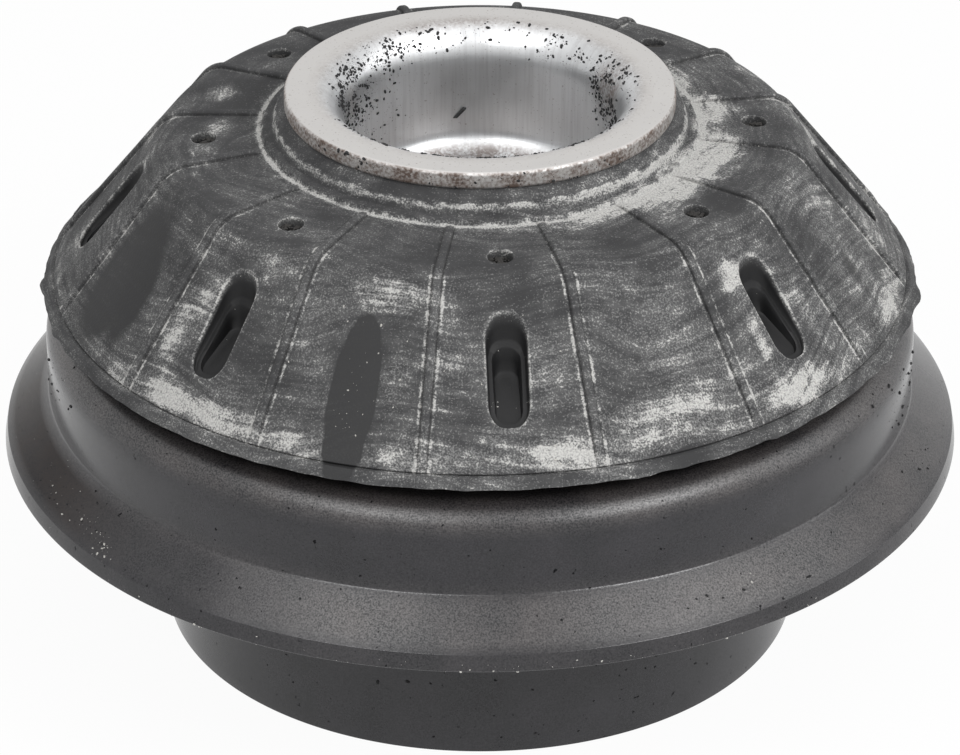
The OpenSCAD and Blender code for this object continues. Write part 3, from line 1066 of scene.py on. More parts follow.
@dataclass
class RubberCone:
    """The moulded rubber cone with its collar, slots, pin holes, lip and ribs."""

    lip_z: float
    flange_z: float
    flange_r: float
    cup_wall_r: float = 25.4
    lip_r: float = 72.2
    lip_in_r: float = 64.0
    lip_edge_w: float = 1.2
    lip_edge_h: float = 1.75
    parting: float = 0.5
    flank_w: float = 19.0
    flank_h: float = 23.8
    shoulder_round: float = 6.0
    top_z_below_flange: float = 4.2
    terrace_h: float = 0.75
    terrace_w: float = 3.9
    collar_w: float = 1.6
    tuck_h: float = 1.7
    edge_round: float = 0.3
    sectors: int = 8
    pattern_turn_deg: float = 4.0
    row_step: float = 0.9
    window_half: float = 4.4
    window_columns: int = 14
    plain_columns: int = 24
    rib_count: int = 16
    rib_w: float = 1.4
    rib_h: float = 0.7
    rib_sunk: float = 0.6
    rib_edge: float = 0.45
    rib_step: float = 1.5
    flash_mm: float = 0.55
    window_margin: float = 1.0
    skirt_z: float = 61.22
    plate_r: float = 66.0
    plate_z: float = 66.42
    plate_round: float = 3.2
    neck: tuple[Corner, ...] = (
        Corner(50.91, 66.42, 1.2), Corner(45.06, 76.55), Corner(43.33, 75.55), Corner(48.83, 66.02),
    )
    underside: Corner = Corner(37.0, 71.6, 18.0)
    heel_z: float = 69.62
    back_step: float = 4.0
    dirt_sides: int = 16
    dirt_share: float = 0.85
    dirt_below: float = 1.1

    @classmethod
    def from_frame(cls) -> "RubberCone":
        """Take the cone's place from the CAD boxes."""
        low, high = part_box("rubber_cone")
        return cls(lip_z=low.z / MM, flange_z=high.z / MM, flange_r=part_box("rod_cup")[1].x / MM)

    @property
    def flank_foot(self) -> Corner:
        """The flank's lower end, above the lip."""
        return Corner(self.lip_r - self.lip_edge_w - self.parting, self.lip_z + self.lip_edge_h, 0.2)

    @property
    def shoulder(self) -> Corner:
        """The corner between the top face and the flank."""
        foot = self.flank_foot
        return Corner(foot.r - self.flank_w, foot.z + self.flank_h, self.shoulder_round)

    def face(self) -> np.ndarray:
        """Give the outer face in section, from under the cup's flange down to the lip.

        Returns:
            Radius and height of each point.
        """
        top_z = self.flange_z - self.top_z_below_flange
        terrace_z = top_z + self.terrace_h
        terrace_r = self.flange_r + self.terrace_w
        foot = self.flank_foot
        return resampled(rounded((
            Corner(self.cup_wall_r, self.flange_z),
            Corner(self.flange_r - 2 * self.edge_round, self.flange_z, self.edge_round),
            Corner(self.flange_r + self.collar_w, self.flange_z - self.tuck_h, self.edge_round),
            Corner(self.flange_r + self.collar_w + self.terrace_h, terrace_z, self.edge_round),
            Corner(terrace_r - self.terrace_h / 2, terrace_z, self.edge_round),
            Corner(terrace_r, top_z, self.edge_round),
            self.shoulder,
            foot,
            Corner(foot.r - self.parting, foot.z - self.parting / 2),
            Corner(foot.r + self.parting, foot.z - self.parting / 2, self.edge_round / 2),
            Corner(self.lip_r, self.lip_z),
        ), closed=False), self.row_step)

    def back(self) -> np.ndarray:
        """Give the hidden side in section, from the lip round the support plate to the cup.

        Returns:
            Radius and height of each point.
        """
        return resampled(rounded((
            Corner(self.lip_r, self.lip_z),
            Corner(self.lip_in_r, self.lip_z),
            Corner(self.lip_in_r, self.skirt_z),
            Corner(self.plate_r, self.skirt_z),
            Corner(self.plate_r, self.plate_z, self.plate_round),
            *self.neck,
            self.underside,
            Corner(self.cup_wall_r, self.heel_z),
        ), closed=False), self.back_step)[1:]

    def height(self, radius: np.ndarray) -> np.ndarray:
        """Give the height of the outer face outside the collar.

        Args:
            radius: Distances from the axis.

        Returns:
            One height for each distance.
        """
        rows = self.face()
        start = int(np.argmax(rows[:, 0] >= self.flange_r + self.terrace_w - 1e-6))
        stop = int(np.argmax(rows[:, 0] >= self.flank_foot.r - 0.1))
        return np.interp(radius, rows[start:stop, 0], rows[start:stop, 1])

    def windows(self) -> tuple[Window, ...]:
        """Give the sunk features that each sector has.

        Returns:
            The slot, with a shelf and a well, and the pin hole.
        """
        corner_r = self.shoulder.r
        slot = Window(corner_r + 3.3, corner_r + 14.5, 3.35, 0.78, (
            (-0.6, 0.0, 0.0), (-0.3, 0.02, 0.02), (-0.1, 0.08, 0.07), (0.05, 0.25, 0.2), (0.15, 0.7, 0.4),
            (0.28, 2.2, 0.8), (0.42, 4.0, 1.1), (0.55, 4.35, 1.2), (1.1, 4.4, 1.2), (1.22, 4.7, 1.25),
            (1.32, 6.6, 1.3), (1.5, 8.5, 1.4), (1.8, 8.8, 1.45), (2.6, 8.8, 1.45),
        ))
        pin = Window(corner_r - 8.6, corner_r - 4.4, 2.1, 0.99, (
            (-0.6, 0.0, 0.0), (-0.2, 0.03, 0.03), (0.0, 0.15, 0.15), (0.1, 0.6, 0.6), (0.2, 3.5, 3.5),
            (0.35, 7.2, 7.2), (0.8, 7.5, 7.5), (1.6, 7.5, 7.5),
        ))
        return slot, pin

    def column_angles(self, radius: float) -> np.ndarray:
        """Give the angles of a sector's columns at a radius.

        Args:
            radius: Distance from the axis.

        Returns:
            Angles from one sector border to the other, about the slot's middle.
        """
        reach = max(radius, self.flange_r + self.terrace_w)
        inner = np.arcsin(np.linspace(-self.window_half, self.window_half, self.window_columns + 1) / reach)
        border = math.pi / self.sectors
        outer = np.linspace(inner[-1], border, self.plain_columns + 1)[1:]
        return np.concatenate([-outer[::-1], inner, outer])

    def sector(self) -> tuple[np.ndarray, list[tuple[int, ...]]]:
        """Make one sector of the cone, about a slot that lies along +X.

        Returns:
            Its points and faces.
        """
        face = self.face()
        rows = np.concatenate([face, self.back()])
        angles = np.array([self.column_angles(r) for r in rows[:, 0]])
        points = np.stack([
            rows[:, :1] * np.cos(angles), rows[:, :1] * np.sin(angles),
            np.broadcast_to(rows[:, 1:], angles.shape),
        ], axis=-1)
        count, wide = angles.shape
        number = np.arange(count * wide).reshape(count, wide)
        left, right = self.plain_columns, self.plain_columns + self.window_columns
        is_open = np.zeros((count, wide - 1), bool)
        all_points = [points.reshape(-1, 3)]
        faces: list[tuple[int, ...]] = []
        total = count * wide
        on_top = np.flatnonzero(rows[: len(face), 0] >= self.flange_r + self.terrace_w)
        for window in self.windows():
            first = on_top[rows[on_top, 0] < window.near_r - self.window_margin][-1]
            last = on_top[rows[on_top, 0] > window.far_r + self.window_margin][0]
            is_open[first:last, left:right] = True
            loop = np.concatenate([
                number[first, left:right], number[first:last, right],
                number[last, right:left:-1], number[last:first:-1, left],
            ])
            border = points.reshape(-1, 3)[loop]
            directions = window.directions(border[:, :2])
            for inset, *depths in window.steps:
                plan = window.ring(directions, inset)
                z = self.height(np.hypot(*plan.T)) - window.depth(plan[:, 0], *depths)
                fresh = total + np.arange(len(loop))
                all_points.append(np.column_stack([plan, z]))
                total += len(loop)
                following = np.roll(np.arange(len(loop)), -1)
                faces += [tuple(q) for q in np.column_stack([loop, loop[following], fresh[following], fresh])]
                loop = fresh
            faces.append(tuple(loop))
        below = np.roll(np.arange(count), -1)
        for i in range(count):
            for j in np.flatnonzero(~is_open[i]):
                faces.append((number[i, j], number[i, j + 1], number[below[i], j + 1], number[below[i], j]))
        return np.concatenate(all_points), [tuple(int(k) for k in f) for f in faces]

    def sector_angles(self) -> list[float]:
        """Give the angle of each sector's middle about the axis."""
        turn = math.radians(self.pattern_turn_deg)
        return [turn + k * FULL_TURN / self.sectors for k in range(self.sectors)]

    def build_body(self) -> Object:
        """Make the cone from its sectors, with ragged flash at the lip.

        Returns:
            The cone.
        """
        points, faces = self.sector()
        all_points, all_faces = [], []
        for k, angle in enumerate(self.sector_angles()):
            turn = np.array((
                (math.cos(angle), math.sin(angle), 0), (-math.sin(angle), math.cos(angle), 0), (0, 0, 1),
            ))
            all_points.append(points @ turn)
            all_faces += [tuple(v + k * len(points) for v in f) for f in faces]
        piece = new_object("moulded_cone", np.concatenate(all_points), all_faces)
        self.roughen(piece)
        return piece

    def roughen(self, piece: Object) -> None:
        """Make the lip's edge ragged with mould flash.

        Args:
            piece: The cone.
        """
        points = places(piece)
        radius = radii(points)
        at_lip = smooth_step(radius, self.lip_r - 1.4, self.lip_r) * (points[:, 2] < self.flank_foot.z)
        ragged = 0.5 * wander(points, 1.1) + 0.6 * wander(points, 2.9) + 0.4 * wander(points, 7.0, shift=5.0)
        ragged *= 0.35 + 0.9 * smooth_step(wander(points, 13.0, shift=2.0), -0.1, 0.4)
        tabs = covered(points, LIP_TABS)
        grown = 1 + at_lip * (self.flash_mm * ragged + tabs) / np.maximum(radius, 1)
        points[:, :2] *= grown[:, None]
        points[:, 2] += at_lip * 0.5 * self.flash_mm * wander(points, 4.0, shift=9.0)
        move(piece, points)

    def rib_path(self) -> np.ndarray:
        """Give a rib's middle line in section, which dips into the rubber at both ends.

        Returns:
            Radius and height of each point.
        """
        top_z = self.flange_z - self.top_z_below_flange
        foot = self.flank_foot
        line = resampled(rounded((
            Corner(self.flange_r + self.terrace_w + 0.3, top_z),
            self.shoulder,
            Corner(foot.r - 0.5, foot.z + 0.63),
        ), closed=False), self.rib_step)
        ahead = np.gradient(line, axis=0)
        outwards = np.column_stack([-ahead[:, 1], ahead[:, 0]]) / np.linalg.norm(ahead, axis=1)[:, None]
        rise = np.full(len(line), (self.rib_h - self.rib_sunk) / 2)
        rise[[0, -1]] -= 0.7 * self.rib_h
        rise[[1, -2]] -= 0.2 * self.rib_h
        return line + outwards * rise[:, None]

    def build_ribs(self, rubber: Material) -> Object:
        """Sweep the ribs along the cone's face.

        Args:
            rubber: The cone's material.

        Returns:
            The ribs.
        """
        path = self.rib_path()
        points = np.column_stack([path[:, 0], np.zeros(len(path)), path[:, 1]])
        piece = new_object("cone_ribs", points, [], [(i, i + 1) for i in range(len(points) - 1)])
        rib_tree().grow(piece, {
            "Width": self.rib_w * MM, "Depth": (self.rib_h + self.rib_sunk) * MM, "Edge": self.rib_edge * MM,
            "Count": self.rib_count, "Material": rubber,
            "Turn": math.radians(self.pattern_turn_deg) + math.pi / self.rib_count,
        })
        piece.data.shade_smooth()
        piece.data.set_sharp_from_angle(angle=SHARP_ANGLE)
        return piece

    def build_pin_dirt(self, tree: Tree, grit: Grit, soil: Material) -> Object:
        """Fill the pin holes with crumbs, nearly to the brim.

        Args:
            tree: The tree that strews the crumbs.
            grit: The kind of crumbs.
            soil: Their material.

        Returns:
            The crumbs.
        """
        pin = self.windows()[1]
        middle = (pin.near_r + pin.far_r) / 2
        fill_r = self.dirt_share * pin.half_width
        fill_z = self.height(np.array([middle]))[0] - self.dirt_below
        sides = self.dirt_sides
        round_pin = np.arange(sides) * FULL_TURN / sides
        points, faces = [], []
        for k, angle in enumerate(self.sector_angles()):
            faces.append(tuple(range(sides * k, sides * (k + 1))))
            points.append(np.column_stack([
                middle * math.cos(angle) + fill_r * np.cos(round_pin),
                middle * math.sin(angle) + fill_r * np.sin(round_pin),
                np.full(sides, fill_z),
            ]))
        piece = new_object("pin_hole_dirt", np.concatenate(points), faces)
        paint(piece, "grit", np.ones(len(piece.data.vertices)))
        tree.grow(piece, grit.inputs(soil))
        return piece

    def dress(self, piece: Object, rubber: Material) -> None:
        """Lay the chalk on the cone or its ribs.

        Args:
            piece: The cone or the ribs.
            rubber: Their material.
        """
        points = places(piece)
        radius = radii(points)
        side = bearings(points)
        terrace_r = self.flange_r + self.terrace_w
        right = smooth_step(side, -15, 45) * (1 - smooth_step(side, 120, 170))
        flank = smooth_step(radius, self.shoulder.r - 4, self.shoulder.r + 1)
        chalk = 0.1 + 0.1 * flank + 0.08 * right
        chalk += (0.15 + 0.3 * right) * np.exp(-((radius - terrace_r - 1.2) / (1.5 + 1.5 * right)) ** 2)
        chalk += 0.15 * np.exp(-((radius - self.flank_foot.r + 1.2) / 1.2) ** 2)
        chalk -= 0.05 * smooth_step(radius, self.flank_foot.r - 0.3, self.flank_foot.r + 0.3)
        for patch in CHALK_PATCHES:
            chalk += patch.cover(points)
        sunk = (self.height(radius) - points[:, 2]) * (radius < self.flank_foot.r) * (radius > terrace_r)
        rim = smooth_step(sunk, 0.01, 0.1) * (1 - smooth_step(sunk, 0.3, 0.8))
        inside = smooth_step(sunk, 0.3, 1.5)
        bare = np.clip(covered(points, BARE_PATCHES), 0, 1)
        # Inside the slots and pin holes the rubber counts as bare, and its darker clean colour there is
        # partly painted shade
        bare = np.maximum(bare, 0.75 * inside)
        # Painted shade with dirt, stronger the deeper a point lies in a slot or pin hole
        paint(piece, "deep_shade_and_dirt", 0.9 * smooth_step(sunk, 0.25, 1.3))
        paint(piece, "chalk", np.clip(chalk + 0.3 * rim, 0, 0.8) * (1 - 0.85 * inside))
        paint(piece, "bare", bare)
        if not piece.data.materials:
            piece.data.materials.append(rubber)


# Mould flash that stands out from the lip
LIP_TABS = patches(
    (-85, 72, 60.5, 7, 6, 0.7),
    (-72, 72, 60.5, 5, 6, 0.4),
    (82, 72, 60.5, 9, 6, 0.8),
    (40, 72, 60.5, 5, 6, 0.4),
)

# Where the chalk lies thicker
CHALK_PATCHES = patches(
    (10.5, 69.0, 63.7, 14, 6.5, 0.7),
    (24, 66.8, 66.4, 24, 9, 0.4),
    (47, 68.5, 64.3, 19, 7, 0.55),
    (44, 56.0, 80.0, 6, 9, 0.5),
    (44, 63.0, 71.2, 3, 14, 0.35),
    (55, 62.0, 72.4, 4, 14, 0.25),
    (60, 39.0, 86.3, 30, 10, 0.42),
    (80, 40.0, 86.3, 14, 11, 0.55),
    (100, 39.5, 86.3, 12, 10, 0.5),
    (75, 68.5, 64.3, 22, 9, 0.3),
    (88, 64.0, 70.0, 10, 16, 0.2),
    (-36, 69.0, 63.7, 24, 6, 0.3),
    (-24, 69.5, 63.0, 10, 5, 0.25),
    (-46, 60.0, 75.0, 7, 18, 0.2),
    (-15, 53.5, 82.8, 18, 7, 0.42),
    (-36, 53.0, 83.0, 12, 4, 0.25),
    (-12, 62.0, 72.4, 7, 12, 0.18),
    (-10, 69.0, 63.7, 10, 8, 0.2),
    (-108, 45.0, 86.0, 9, 7, 0.45),
    (-91, 42.5, 86.2, 9, 6, 0.4),
    (-80, 45.5, 86.0, 6, 6, 0.35),
    (-45, 69.0, 63.7, 12, 7, 0.5),
    (-54, 70.0, 62.4, 13, 4, 0.45),
    (-49, 63.0, 71.2, 6, 19, 0.35),
    (-88, 65.0, 68.7, 9, 14, 0.25),
    (31, 65.4, 68.1, 13, 9, 0.18),
    (17, 44.7, 86.0, 12, 8, 0.1),
)

# Where loose white dust lies on the cone
CONE_DUST = patches(
    (-17.6, 64.0, 70.0, 7, 20, 0.25),
    (-17.5, 67.3, 65.9, 3, 4, 0.8),
    (0, 60.0, 75.0, 120, 30, 0.06),
    (10.5, 69.0, 63.7, 14, 6.5, 0.4),
    (47, 68.5, 64.3, 19, 7, 0.4),
    (75, 40.0, 86.3, 60, 12, 0.25),
)

# Smooth bare stretches of rubber
BARE_PATCHES = patches(
    (-17.7, 64.4, 69.4, 7.6, 28, 0.93, 0.2, 2.2),
    (-66, 62.0, 72.4, 20, 36, 0.78, 0.65),
    (-59, 65.0, 68.7, 7, 24, 0.5, 0.8),
    (71, 63.0, 71.2, 7, 12, 0.6),
    (-12, 46.0, 86.0, 34, 10, 0.35),
    (54, 48.0, 85.8, 24, 10, 0.5),
)


@dataclass
class RodCup:
    """The flanged steel cup that the piston rod is clamped in."""

    top_z: float
    bottom_z: float
    flange_r: float
    bore_r: float = 22.4
    wall: float = 3.0
    flange_t: float = 2.9
    floor_t: float = 4.0
    rod_hole_r: float = 7.1
    bell_w: float = 4.8
    bell_h: float = 6.6
    fillet: float = 3.6
    corner: float = 2.0
    edge: float = 0.6
    segments: int = 240
    chip_bearing_deg: float = -171.3
    chip_z: float = 78.3

    @classmethod
    def from_frame(cls) -> "RodCup":
        """Take the cup's place from its CAD box."""
        low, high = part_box("rod_cup")
        return cls(top_z=high.z / MM, bottom_z=low.z / MM, flange_r=high.x / MM)

    def section(self) -> np.ndarray:
        """Give the cup's section.

        Returns:
            Radius and height of each point.
        """
        floor_z = self.bottom_z + self.floor_t
        flange_z = self.top_z - self.flange_t
        outer_r = self.bore_r + self.wall
        turn = np.linspace(math.pi / 2, math.pi, 3 * ARC_STEPS)
        bell = np.column_stack([
            self.bore_r + self.bell_w * (1 + np.cos(turn)), self.top_z - self.bell_h * (1 - np.sin(turn)),
        ])
        outside = rounded((
            Corner(self.bore_r, self.top_z - self.bell_h), Corner(self.bore_r, floor_z, self.fillet),
            Corner(self.rod_hole_r, floor_z, 0.3), Corner(self.rod_hole_r, self.bottom_z, 0.3),
            Corner(outer_r, self.bottom_z, self.corner), Corner(outer_r, flange_z),
            Corner(self.flange_r, flange_z, self.edge), Corner(self.flange_r, self.top_z, self.edge),
            Corner(self.bore_r + self.bell_w, self.top_z),
        ), closed=False)
        return np.concatenate([bell[:-1], resampled(outside, 2.0)[:-1]])

    def build(self) -> Object:
        """Turn the cup.

        Returns:
            The cup.
        """
        return new_object("pressed_cup", *revolved(self.section(), self.segments))

    def build_chip(self, rubber: Material) -> Object:
        """Make the chip of rubber that sticks slantwise to the bore's far wall.

        Args:
            rubber: The chip's material.

        Returns:
            The chip.
        """
        foot = ((-1.6, -0.25, -0.1), (1.2, -0.4, -0.1), (1.5, 0.2, -0.1), (-1.1, 0.4, -0.1))
        top = ((-1.1, -0.15, 0.4), (0.9, -0.25, 0.6), (1.2, 0.1, 0.5), (-0.9, 0.2, 0.35))
        angle = math.radians(self.chip_bearing_deg)
        aside = np.array((-math.cos(angle), -math.sin(angle), 0))
        inwards = np.array((-math.sin(angle), math.cos(angle), 0))
        along, across = (aside + (0, 0, 1)) / math.sqrt(2), (aside - (0, 0, 1)) / math.sqrt(2)
        points = np.array(foot + top) @ np.array((along, across, inwards))
        points += -self.bore_r * inwards + (0, 0, self.chip_z)
        sides = [(i, (i + 1) % 4, 4 + (i + 1) % 4, 4 + i) for i in range(4)]
        piece = new_object("cup_chip", points, [(3, 2, 1, 0), (4, 5, 6, 7), *sides])
        piece.data.materials.append(rubber)
        return piece

    def dress(self, piece: Object, steel: Material) -> None:
        """Lay the stains on the cup.

        Args:
            piece: The cup.
            steel: Its material.
        """
        points = places(piece)
        radius = radii(points)
        edge = smooth_step(radius, self.flange_r - 0.4, self.flange_r - 0.1)
        mouth = np.exp(-((radius - self.bore_r - self.bell_w + 1.2) / 1.3) ** 2)
        mouth *= smooth_step(points[:, 2], self.top_z - 3, self.top_z - 0.5)
        smeared = covered(points, CUP_STAINS)
        floor_z = self.bottom_z + self.floor_t
        floor = 1 - smooth_step(points[:, 2], floor_z + 0.2, floor_z + 2)
        paint(piece, "stain", np.clip(edge + 0.3 * mouth + 0.8 * floor + smeared, 0, 1))
        piece.data.materials.append(steel)


# Brown smears in the cup's mouth
CUP_STAINS = patches(
    (112, 23.2, 89.0, 12, 12, 0.9),
    (-108, 23.0, 87.0, 9, 9, 0.5),
    (-170, 26.0, 93.0, 30, 4, 0.2),
)

# Where rubber crumbs lie in the cup's mouth and along its flange
CUP_CRUMBS = patches(
    (-118, 23.5, 90.0, 28, 9, 0.6),
    (-112, 22.8, 85.0, 14, 9, 0.8),
    (-100, 23.6, 90.0, 7, 5, 1.0),
    (-150, 24.5, 91.5, 30, 7, 0.25),
    (180, 25.0, 92.0, 110, 7, 0.06),
    (-130, 22.4, 80.0, 20, 14, 0.08),
    (112, 23.0, 88.5, 12, 14, 1.0),
    (100, 22.4, 83.0, 10, 12, 0.5),
    (140, 24.0, 91.0, 30, 7, 0.25),
    (90, 26.0, 93.0, 40, 6, 0.15),
    (-30, 25.8, 93.3, 40, 2.4, 1.0),
    (15, 25.8, 93.3, 50, 2.4, 0.8),
    (-40, 31.8, 92.0, 26, 4, 0.3),
    (20, 31.8, 92.0, 50, 4, 0.15),
)


@dataclass
class SpringSeat:
    """The black pressed seat with its pilot tube, wall and flared rim."""

    rim_r: float
    top_z: float
    sheet: float = 2.0
    pilot_r: float = 53.65
    wall_r: float = 72.2
    flare_corner_z: float = 41.7
    rim_top_r: float = 79.4
    rim_top_z: float = 35.1
    rim_low_z: float = 31.85
    mouth_round: float = 5.0
    crown_round: float = 5.5
    flare_round: float = 1.0
    edge: float = 0.25
    segments: int = 288

    @classmethod
    def from_frame(cls) -> "SpringSeat":
        """Take the seat's place from its CAD box."""
        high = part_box("spring_seat")[1]
        return cls(rim_r=high.x / MM, top_z=high.z / MM)

    def section(self) -> np.ndarray:
        """Give the seat's section.

        Returns:
            Radius and height of each point.
        """
        t = self.sheet
        slope = (self.flare_corner_z - self.rim_top_z) / (self.rim_top_r - self.wall_r)
        drop = t * (math.hypot(1, slope) - slope)
        outline = rounded((
            Corner(self.pilot_r - t, 0, self.edge), Corner(self.pilot_r - t, self.top_z, self.mouth_round),
            Corner(self.wall_r, self.top_z, self.crown_round),
            Corner(self.wall_r, self.flare_corner_z, self.flare_round),
            Corner(self.rim_top_r, self.rim_top_z, self.edge),
            Corner(self.rim_r, self.rim_low_z, self.edge),
            Corner(self.wall_r - t, self.flare_corner_z - drop, self.flare_round + t),
            Corner(self.wall_r - t, self.top_z - t, self.crown_round - t),
            Corner(self.pilot_r, self.top_z - t, self.mouth_round - t), Corner(self.pilot_r, 0, self.edge),
        ))
        return resampled(np.concatenate([outline, outline[:1]]), 2.0)[:-1]

    def build(self) -> Object:
        """Turn the seat.

        Returns:
            The seat.
        """
        return new_object("coated_seat", *revolved(self.section(), self.segments))

    def dress(self, piece: Object, coat: Material) -> None:
        """Lay the dust and the pale specks on the seat.

        Args:
            piece: The seat.
            coat: Its material.
        """
        points = places(piece)
        radius = radii(points)
        side = bearings(points)
        flare = smooth_step(radius, self.wall_r + 0.3, self.wall_r + 1.2)
        flare *= 1 - 0.7 * smooth_step(radius, self.rim_top_r - 0.5, self.rim_top_r)
        front = smooth_step(side, -36, -16) * (1 - smooth_step(side, 60, 130))
        film = covered(points, FLARE_FILM)
        crown = smooth_step(points[:, 2], self.top_z - 5.5, self.top_z - 2.5) * (radius > self.pilot_r + 5)
        bend = np.exp(-((radius - self.wall_r - 0.4) / 0.5) ** 2) * (points[:, 2] < self.flare_corner_z + 1)
        paint(piece, "dust", flare * (0.07 + 0.17 * front + film) + 0.3 * crown + 0.15 * bend)
        edge = np.exp(-((points[:, 2] - self.rim_low_z) / 0.35) ** 2) * (radius > self.rim_top_r)
        left = smooth_step(-side, 40, 70) * (1 - smooth_step(-side, 100, 130))
        paint(piece, "dull", left * flare)
        paint(piece, "speck", 0.36 * edge + 0.12 * left * (radius > self.wall_r - 1))
        piece.data.materials.append(coat)


# Where the flare's film of dust is thicker
FLARE_FILM = patches(
    (-14, 75.8, 38.4, 22, 9, 0.14),
    (14, 75.8, 38.4, 14, 9, 0.05),
    (38, 75.8, 38.4, 34, 10, 0.1),
)

# Where black grit and white dust lie on the seat
SEAT_GRIT = patches(
    (-55, 76.5, 37.8, 30, 6, 0.6),
    (-75, 72.2, 50.0, 34, 16, 0.3),
    (60, 71.0, 54.0, 26, 7, 0.5),
    (72, 72.2, 48.0, 30, 16, 0.5),
    (28, 76.5, 37.8, 30, 6, 0.25),
    (70, 76.0, 38.2, 34, 7, 0.25),
    (10, 53.65, 14.0, 120, 28, 0.09),
)
SEAT_DUST = patches(
    (-50.5, 77.6, 36.8, 6, 3, 1.0),
    (-55, 77.0, 37.3, 8, 3, 0.35),
    (-62, 76.0, 38.2, 24, 6, 0.06),
    (40, 76.0, 38.2, 60, 8, 0.008),
    (0, 79.8, 32.2, 190, 1.6, 0.12),
)


@dataclass(frozen=True)
class Inside:
    """A CAD node that keeps its solid, with the finish that it gets."""

    node: str
    finish: Finish

    def dress(self) -> None:
        """Give the node's object its material."""
        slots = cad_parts[self.node].data.materials
        slots.clear()
        slots.append(self.finish.material())


def hidden_pieces() -> tuple[Inside, ...]:
    """Choose a finish for each piece that stays hidden.

    Returns:
        The bearing's pieces and the bonded plate, with their finishes.
    """
    housing = Plain("glass_filled_nylon_moulded", "#2b2b2d", "#1e1e20", roughness=0.5)
    ground = Plain("bearing_steel_ground", "#b9bcc0", "#9da0a4", metallic=1.0, roughness=0.22)
    balls = Plain("bearing_steel_polished", "#d6d9dd", "#c9ccd0", metallic=1.0, roughness=0.08)
    cage = Plain("natural_nylon_moulded", "#d8d2bf", "#c6bfa9", roughness=0.5)
    seal = Plain("nitrile_rubber_moulded", "#242425", "#1a1a1b", roughness=0.7)
    plate = Plain("steel_phosphated", "#55565a", "#404145", metallic=0.6, roughness=0.55)
    return (
        Inside("bearing_base", housing), Inside("bearing_cap", housing),
        Inside("lower_race", ground), Inside("upper_race", ground), Inside("bearing_balls", balls),
        Inside("bearing_cage", cage), Inside("outer_seal", seal), Inside("inner_seal", seal),
        Inside("support_plate", plate),
    )


@dataclass
class Studio:
    """The pale floor, the soft light and the camera."""

    eye: tuple[float, float, float] = (0.0, -629.95, 389.68)
    tilt_deg: float = 60.936
    lens_mm: float = 160.48
    sensor_mm: float = 36.0
    floor_m: float = 6.0
    floor_z_m: float = -0.0001
    ambient: float = 0.3
    floor_glow: float = 0.95
    aim_m: tuple[float, float, float] = (0.0, 0.0, 0.05)

    def build(self) -> None:
        """Make the camera, the floor, the world and the lamps."""
        scene = bpy.context.scene
        scene.view_settings.view_transform = "Standard"
        eye = bpy.data.cameras.new("photo_camera")
        eye.lens, eye.sensor_width = self.lens_mm, self.sensor_mm
        camera = bpy.data.objects.new("photo_camera", eye)
        camera.location = Vector(self.eye) * MM
        camera.rotation_euler = (math.radians(self.tilt_deg), 0, 0)
        scene.collection.objects.link(camera)
        scene.camera = camera
        self.floor()
        self.world()
        self.lamp("low_right", (0.60, -0.62, 0.68), (0.55, 0.22), 4.4)
        self.lamp("low_left", (-0.36, -0.74, 0.73), (0.6, 0.22), 2.8)
        self.lamp("high_right", (0.62, -0.20, 0.90), (0.8, 0.8), 2.2)
        self.lamp("high_left", (-0.40, -0.35, 0.96), (0.7, 0.7), 1.8)
        self.lamp("top", (0.0, 0.1, 1.1), (1.0, 1.0), 1.4)
        self.lamp("side", (1.0, -0.05, 0.4), (0.5, 0.5), 1.2)

    def lamp(
        self, name: str, place: tuple[float, float, float], size: tuple[float, float], power: float,
    ) -> None:
        """Hang a soft light that looks at the object.

        Args:
            name: Name of the lamp.
            place: Where it hangs, in metres.
            size: Width and height, in metres.
            power: Its power, in watts.
        """
        light = bpy.data.lights.new(name, "AREA")
        light.shape, light.energy = "RECTANGLE", power
        light.size, light.size_y = size
        lamp = bpy.data.objects.new(name, light)
        lamp.location = place
        lamp.rotation_euler = (Vector(self.aim_m) - Vector(place)).to_track_quat("-Z", "Y").to_euler()
        bpy.context.scene.collection.objects.link(lamp)

    def seen(self, tree: NodeTree) -> Node:
        """Add the test for rays that show the background: to the camera, in gloss or through glass.

        Args:
            tree: Node tree that takes the test.

        Returns:
            A node that gives 1 for such rays.
        """
        ray = add(tree, "ShaderNodeLightPath").outputs
        either = add(tree, "ShaderNodeMath", {
            0: ray["Is Camera Ray"], 1: ray["Is Glossy Ray"],
        }, operation="MAXIMUM")
        return add(tree, "ShaderNodeMath", {
            0: either, 1: ray["Is Transmission Ray"],
        }, operation="MAXIMUM")

    def floor(self) -> None:
        """Lay the white floor, which keeps a soft shadow."""
        half = self.floor_m / 2
        mesh = bpy.data.meshes.new("floor")
        plan = ((-half, -half), (half, -half), (half, half), (-half, half))
        mesh.from_pydata([(x, y, self.floor_z_m) for x, y in plan], [], [(0, 1, 2, 3)])
        floor = bpy.data.objects.new("floor", mesh)
        bpy.context.scene.collection.objects.link(floor)
        made = bpy.data.materials.new("white_paper_sweep")
        made.use_nodes = True
        tree = made.node_tree
        tree.nodes.clear()
        matt = add(tree, "ShaderNodeBsdfDiffuse", {"Color": linear("#f4f4f4")})
        glow = add(tree, "ShaderNodeEmission", {"Color": (1, 1, 1, 1), "Strength": 1.0})
        share = add(tree, "ShaderNodeMath", {0: self.seen(tree), 1: self.floor_glow}, operation="MULTIPLY")
        mixed = add(tree, "ShaderNodeMixShader", {0: share, 1: matt, 2: glow})
        add(tree, "ShaderNodeOutputMaterial", {"Surface": mixed})
        mesh.materials.append(made)

    def world(self) -> None:
        """Fill the room with even light, and show it white."""
        world = bpy.data.worlds.new("studio")
        bpy.context.scene.world = world
        world.use_nodes = True
        tree = world.node_tree
        tree.nodes.clear()
        level = add(tree, "ShaderNodeMapRange", {
            "Value": self.seen(tree), "To Min": self.ambient, "To Max": 1.0,
        })
        sky = add(tree, "ShaderNodeBackground", {"Color": (1, 1, 1, 1), "Strength": level})
        add(tree, "ShaderNodeOutputWorld", {"Surface": sky})


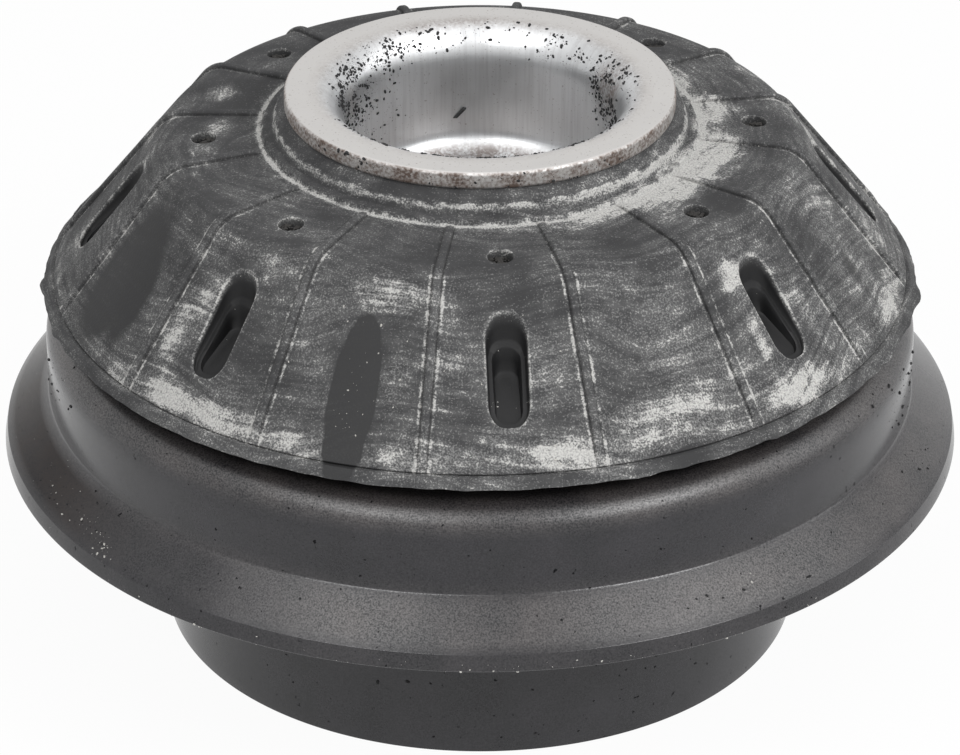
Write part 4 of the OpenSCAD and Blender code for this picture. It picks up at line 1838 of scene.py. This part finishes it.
def settle(piece: Object, body: Body, node: str | None = None) -> None:
    """Tie a finished piece to its body, and hide the CAD node that it stands for.

    Args:
        piece: The finished piece.
        body: The body that it rides on.
        node: The CAD node that it replaces, if any.
    """
    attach(piece, body.value)
    if node:
        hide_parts(node)
    log.info("%s: %d points, rides on %s", piece.name, len(piece.data.vertices), body.value)


def main() -> None:
    """Build and dress the pieces, then light them and note the sizes."""
    logging.basicConfig(level=logging.INFO, format="%(name)s: %(message)s")
    rubber = MouldedRubber("natural_rubber_moulded").material()
    coat = DipCoat("steel_dip_coated").material()
    steel = ZincSteel("steel_zinc_plated").material()
    crumb = Plain("natural_rubber_crumbs", "#1d1d1e", "#111112", roughness=0.8).material()
    soil = Plain("rubber_and_soil_packed", "#3d3b39", "#1b1a19", grain_mm=0.5, roughness=0.9).material()
    mineral = Plain("mineral_dust", "#c9c7c2", "#a5a39e", roughness=0.9).material()

    cone = RubberCone.from_frame()
    cone_body = cone.build_body()
    cone.dress(cone_body, rubber)
    settle(cone_body, Body.MOUNT, "rubber_cone")
    ribs = cone.build_ribs(rubber)
    cone.dress(ribs, rubber)
    settle(ribs, Body.MOUNT)

    tree = grit_tree()
    cone_dust = Grit(per_mm2=1.2, smallest=0.05, largest=0.3, flatness=0.5, seed=9)
    settle(cone_dust.strewn("cone_dust", cone_body, CONE_DUST, tree, mineral), Body.MOUNT)
    dirt = Grit(per_mm2=4, smallest=0.25, largest=0.7, flatness=0.5, seed=3)
    settle(cone.build_pin_dirt(tree, dirt, soil), Body.MOUNT)

    cup = RodCup.from_frame()
    cup_body = cup.build()
    cup.dress(cup_body, steel)
    settle(cup_body, Body.MOUNT, "rod_cup")
    crumbs = Grit(per_mm2=14.0, smallest=0.06, largest=0.46, flatness=0.5, seed=11, clump=1.8)
    settle(crumbs.strewn("cup_crumbs", cup_body, CUP_CRUMBS, tree, crumb), Body.MOUNT)
    settle(cup.build_chip(crumb), Body.MOUNT)

    seat = SpringSeat.from_frame()
    seat_body = seat.build()
    seat.dress(seat_body, coat)
    settle(seat_body, Body.SEAT, "spring_seat")
    dark = Grit(per_mm2=1.0, smallest=0.06, largest=0.5, flatness=0.6, seed=5, clump=4.0)
    settle(dark.strewn("seat_grit", seat_body, SEAT_GRIT, tree, crumb), Body.SEAT)
    pale = Grit(per_mm2=5.0, smallest=0.05, largest=0.32, flatness=0.6, seed=7)
    settle(pale.strewn("seat_dust", seat_body, SEAT_DUST, tree, mineral), Body.SEAT)

    for inside in hidden_pieces():
        inside.dress()
        log.info("%s: keeps its solid", inside.node)
    Studio().build()


if __name__ == "__main__":
    main()
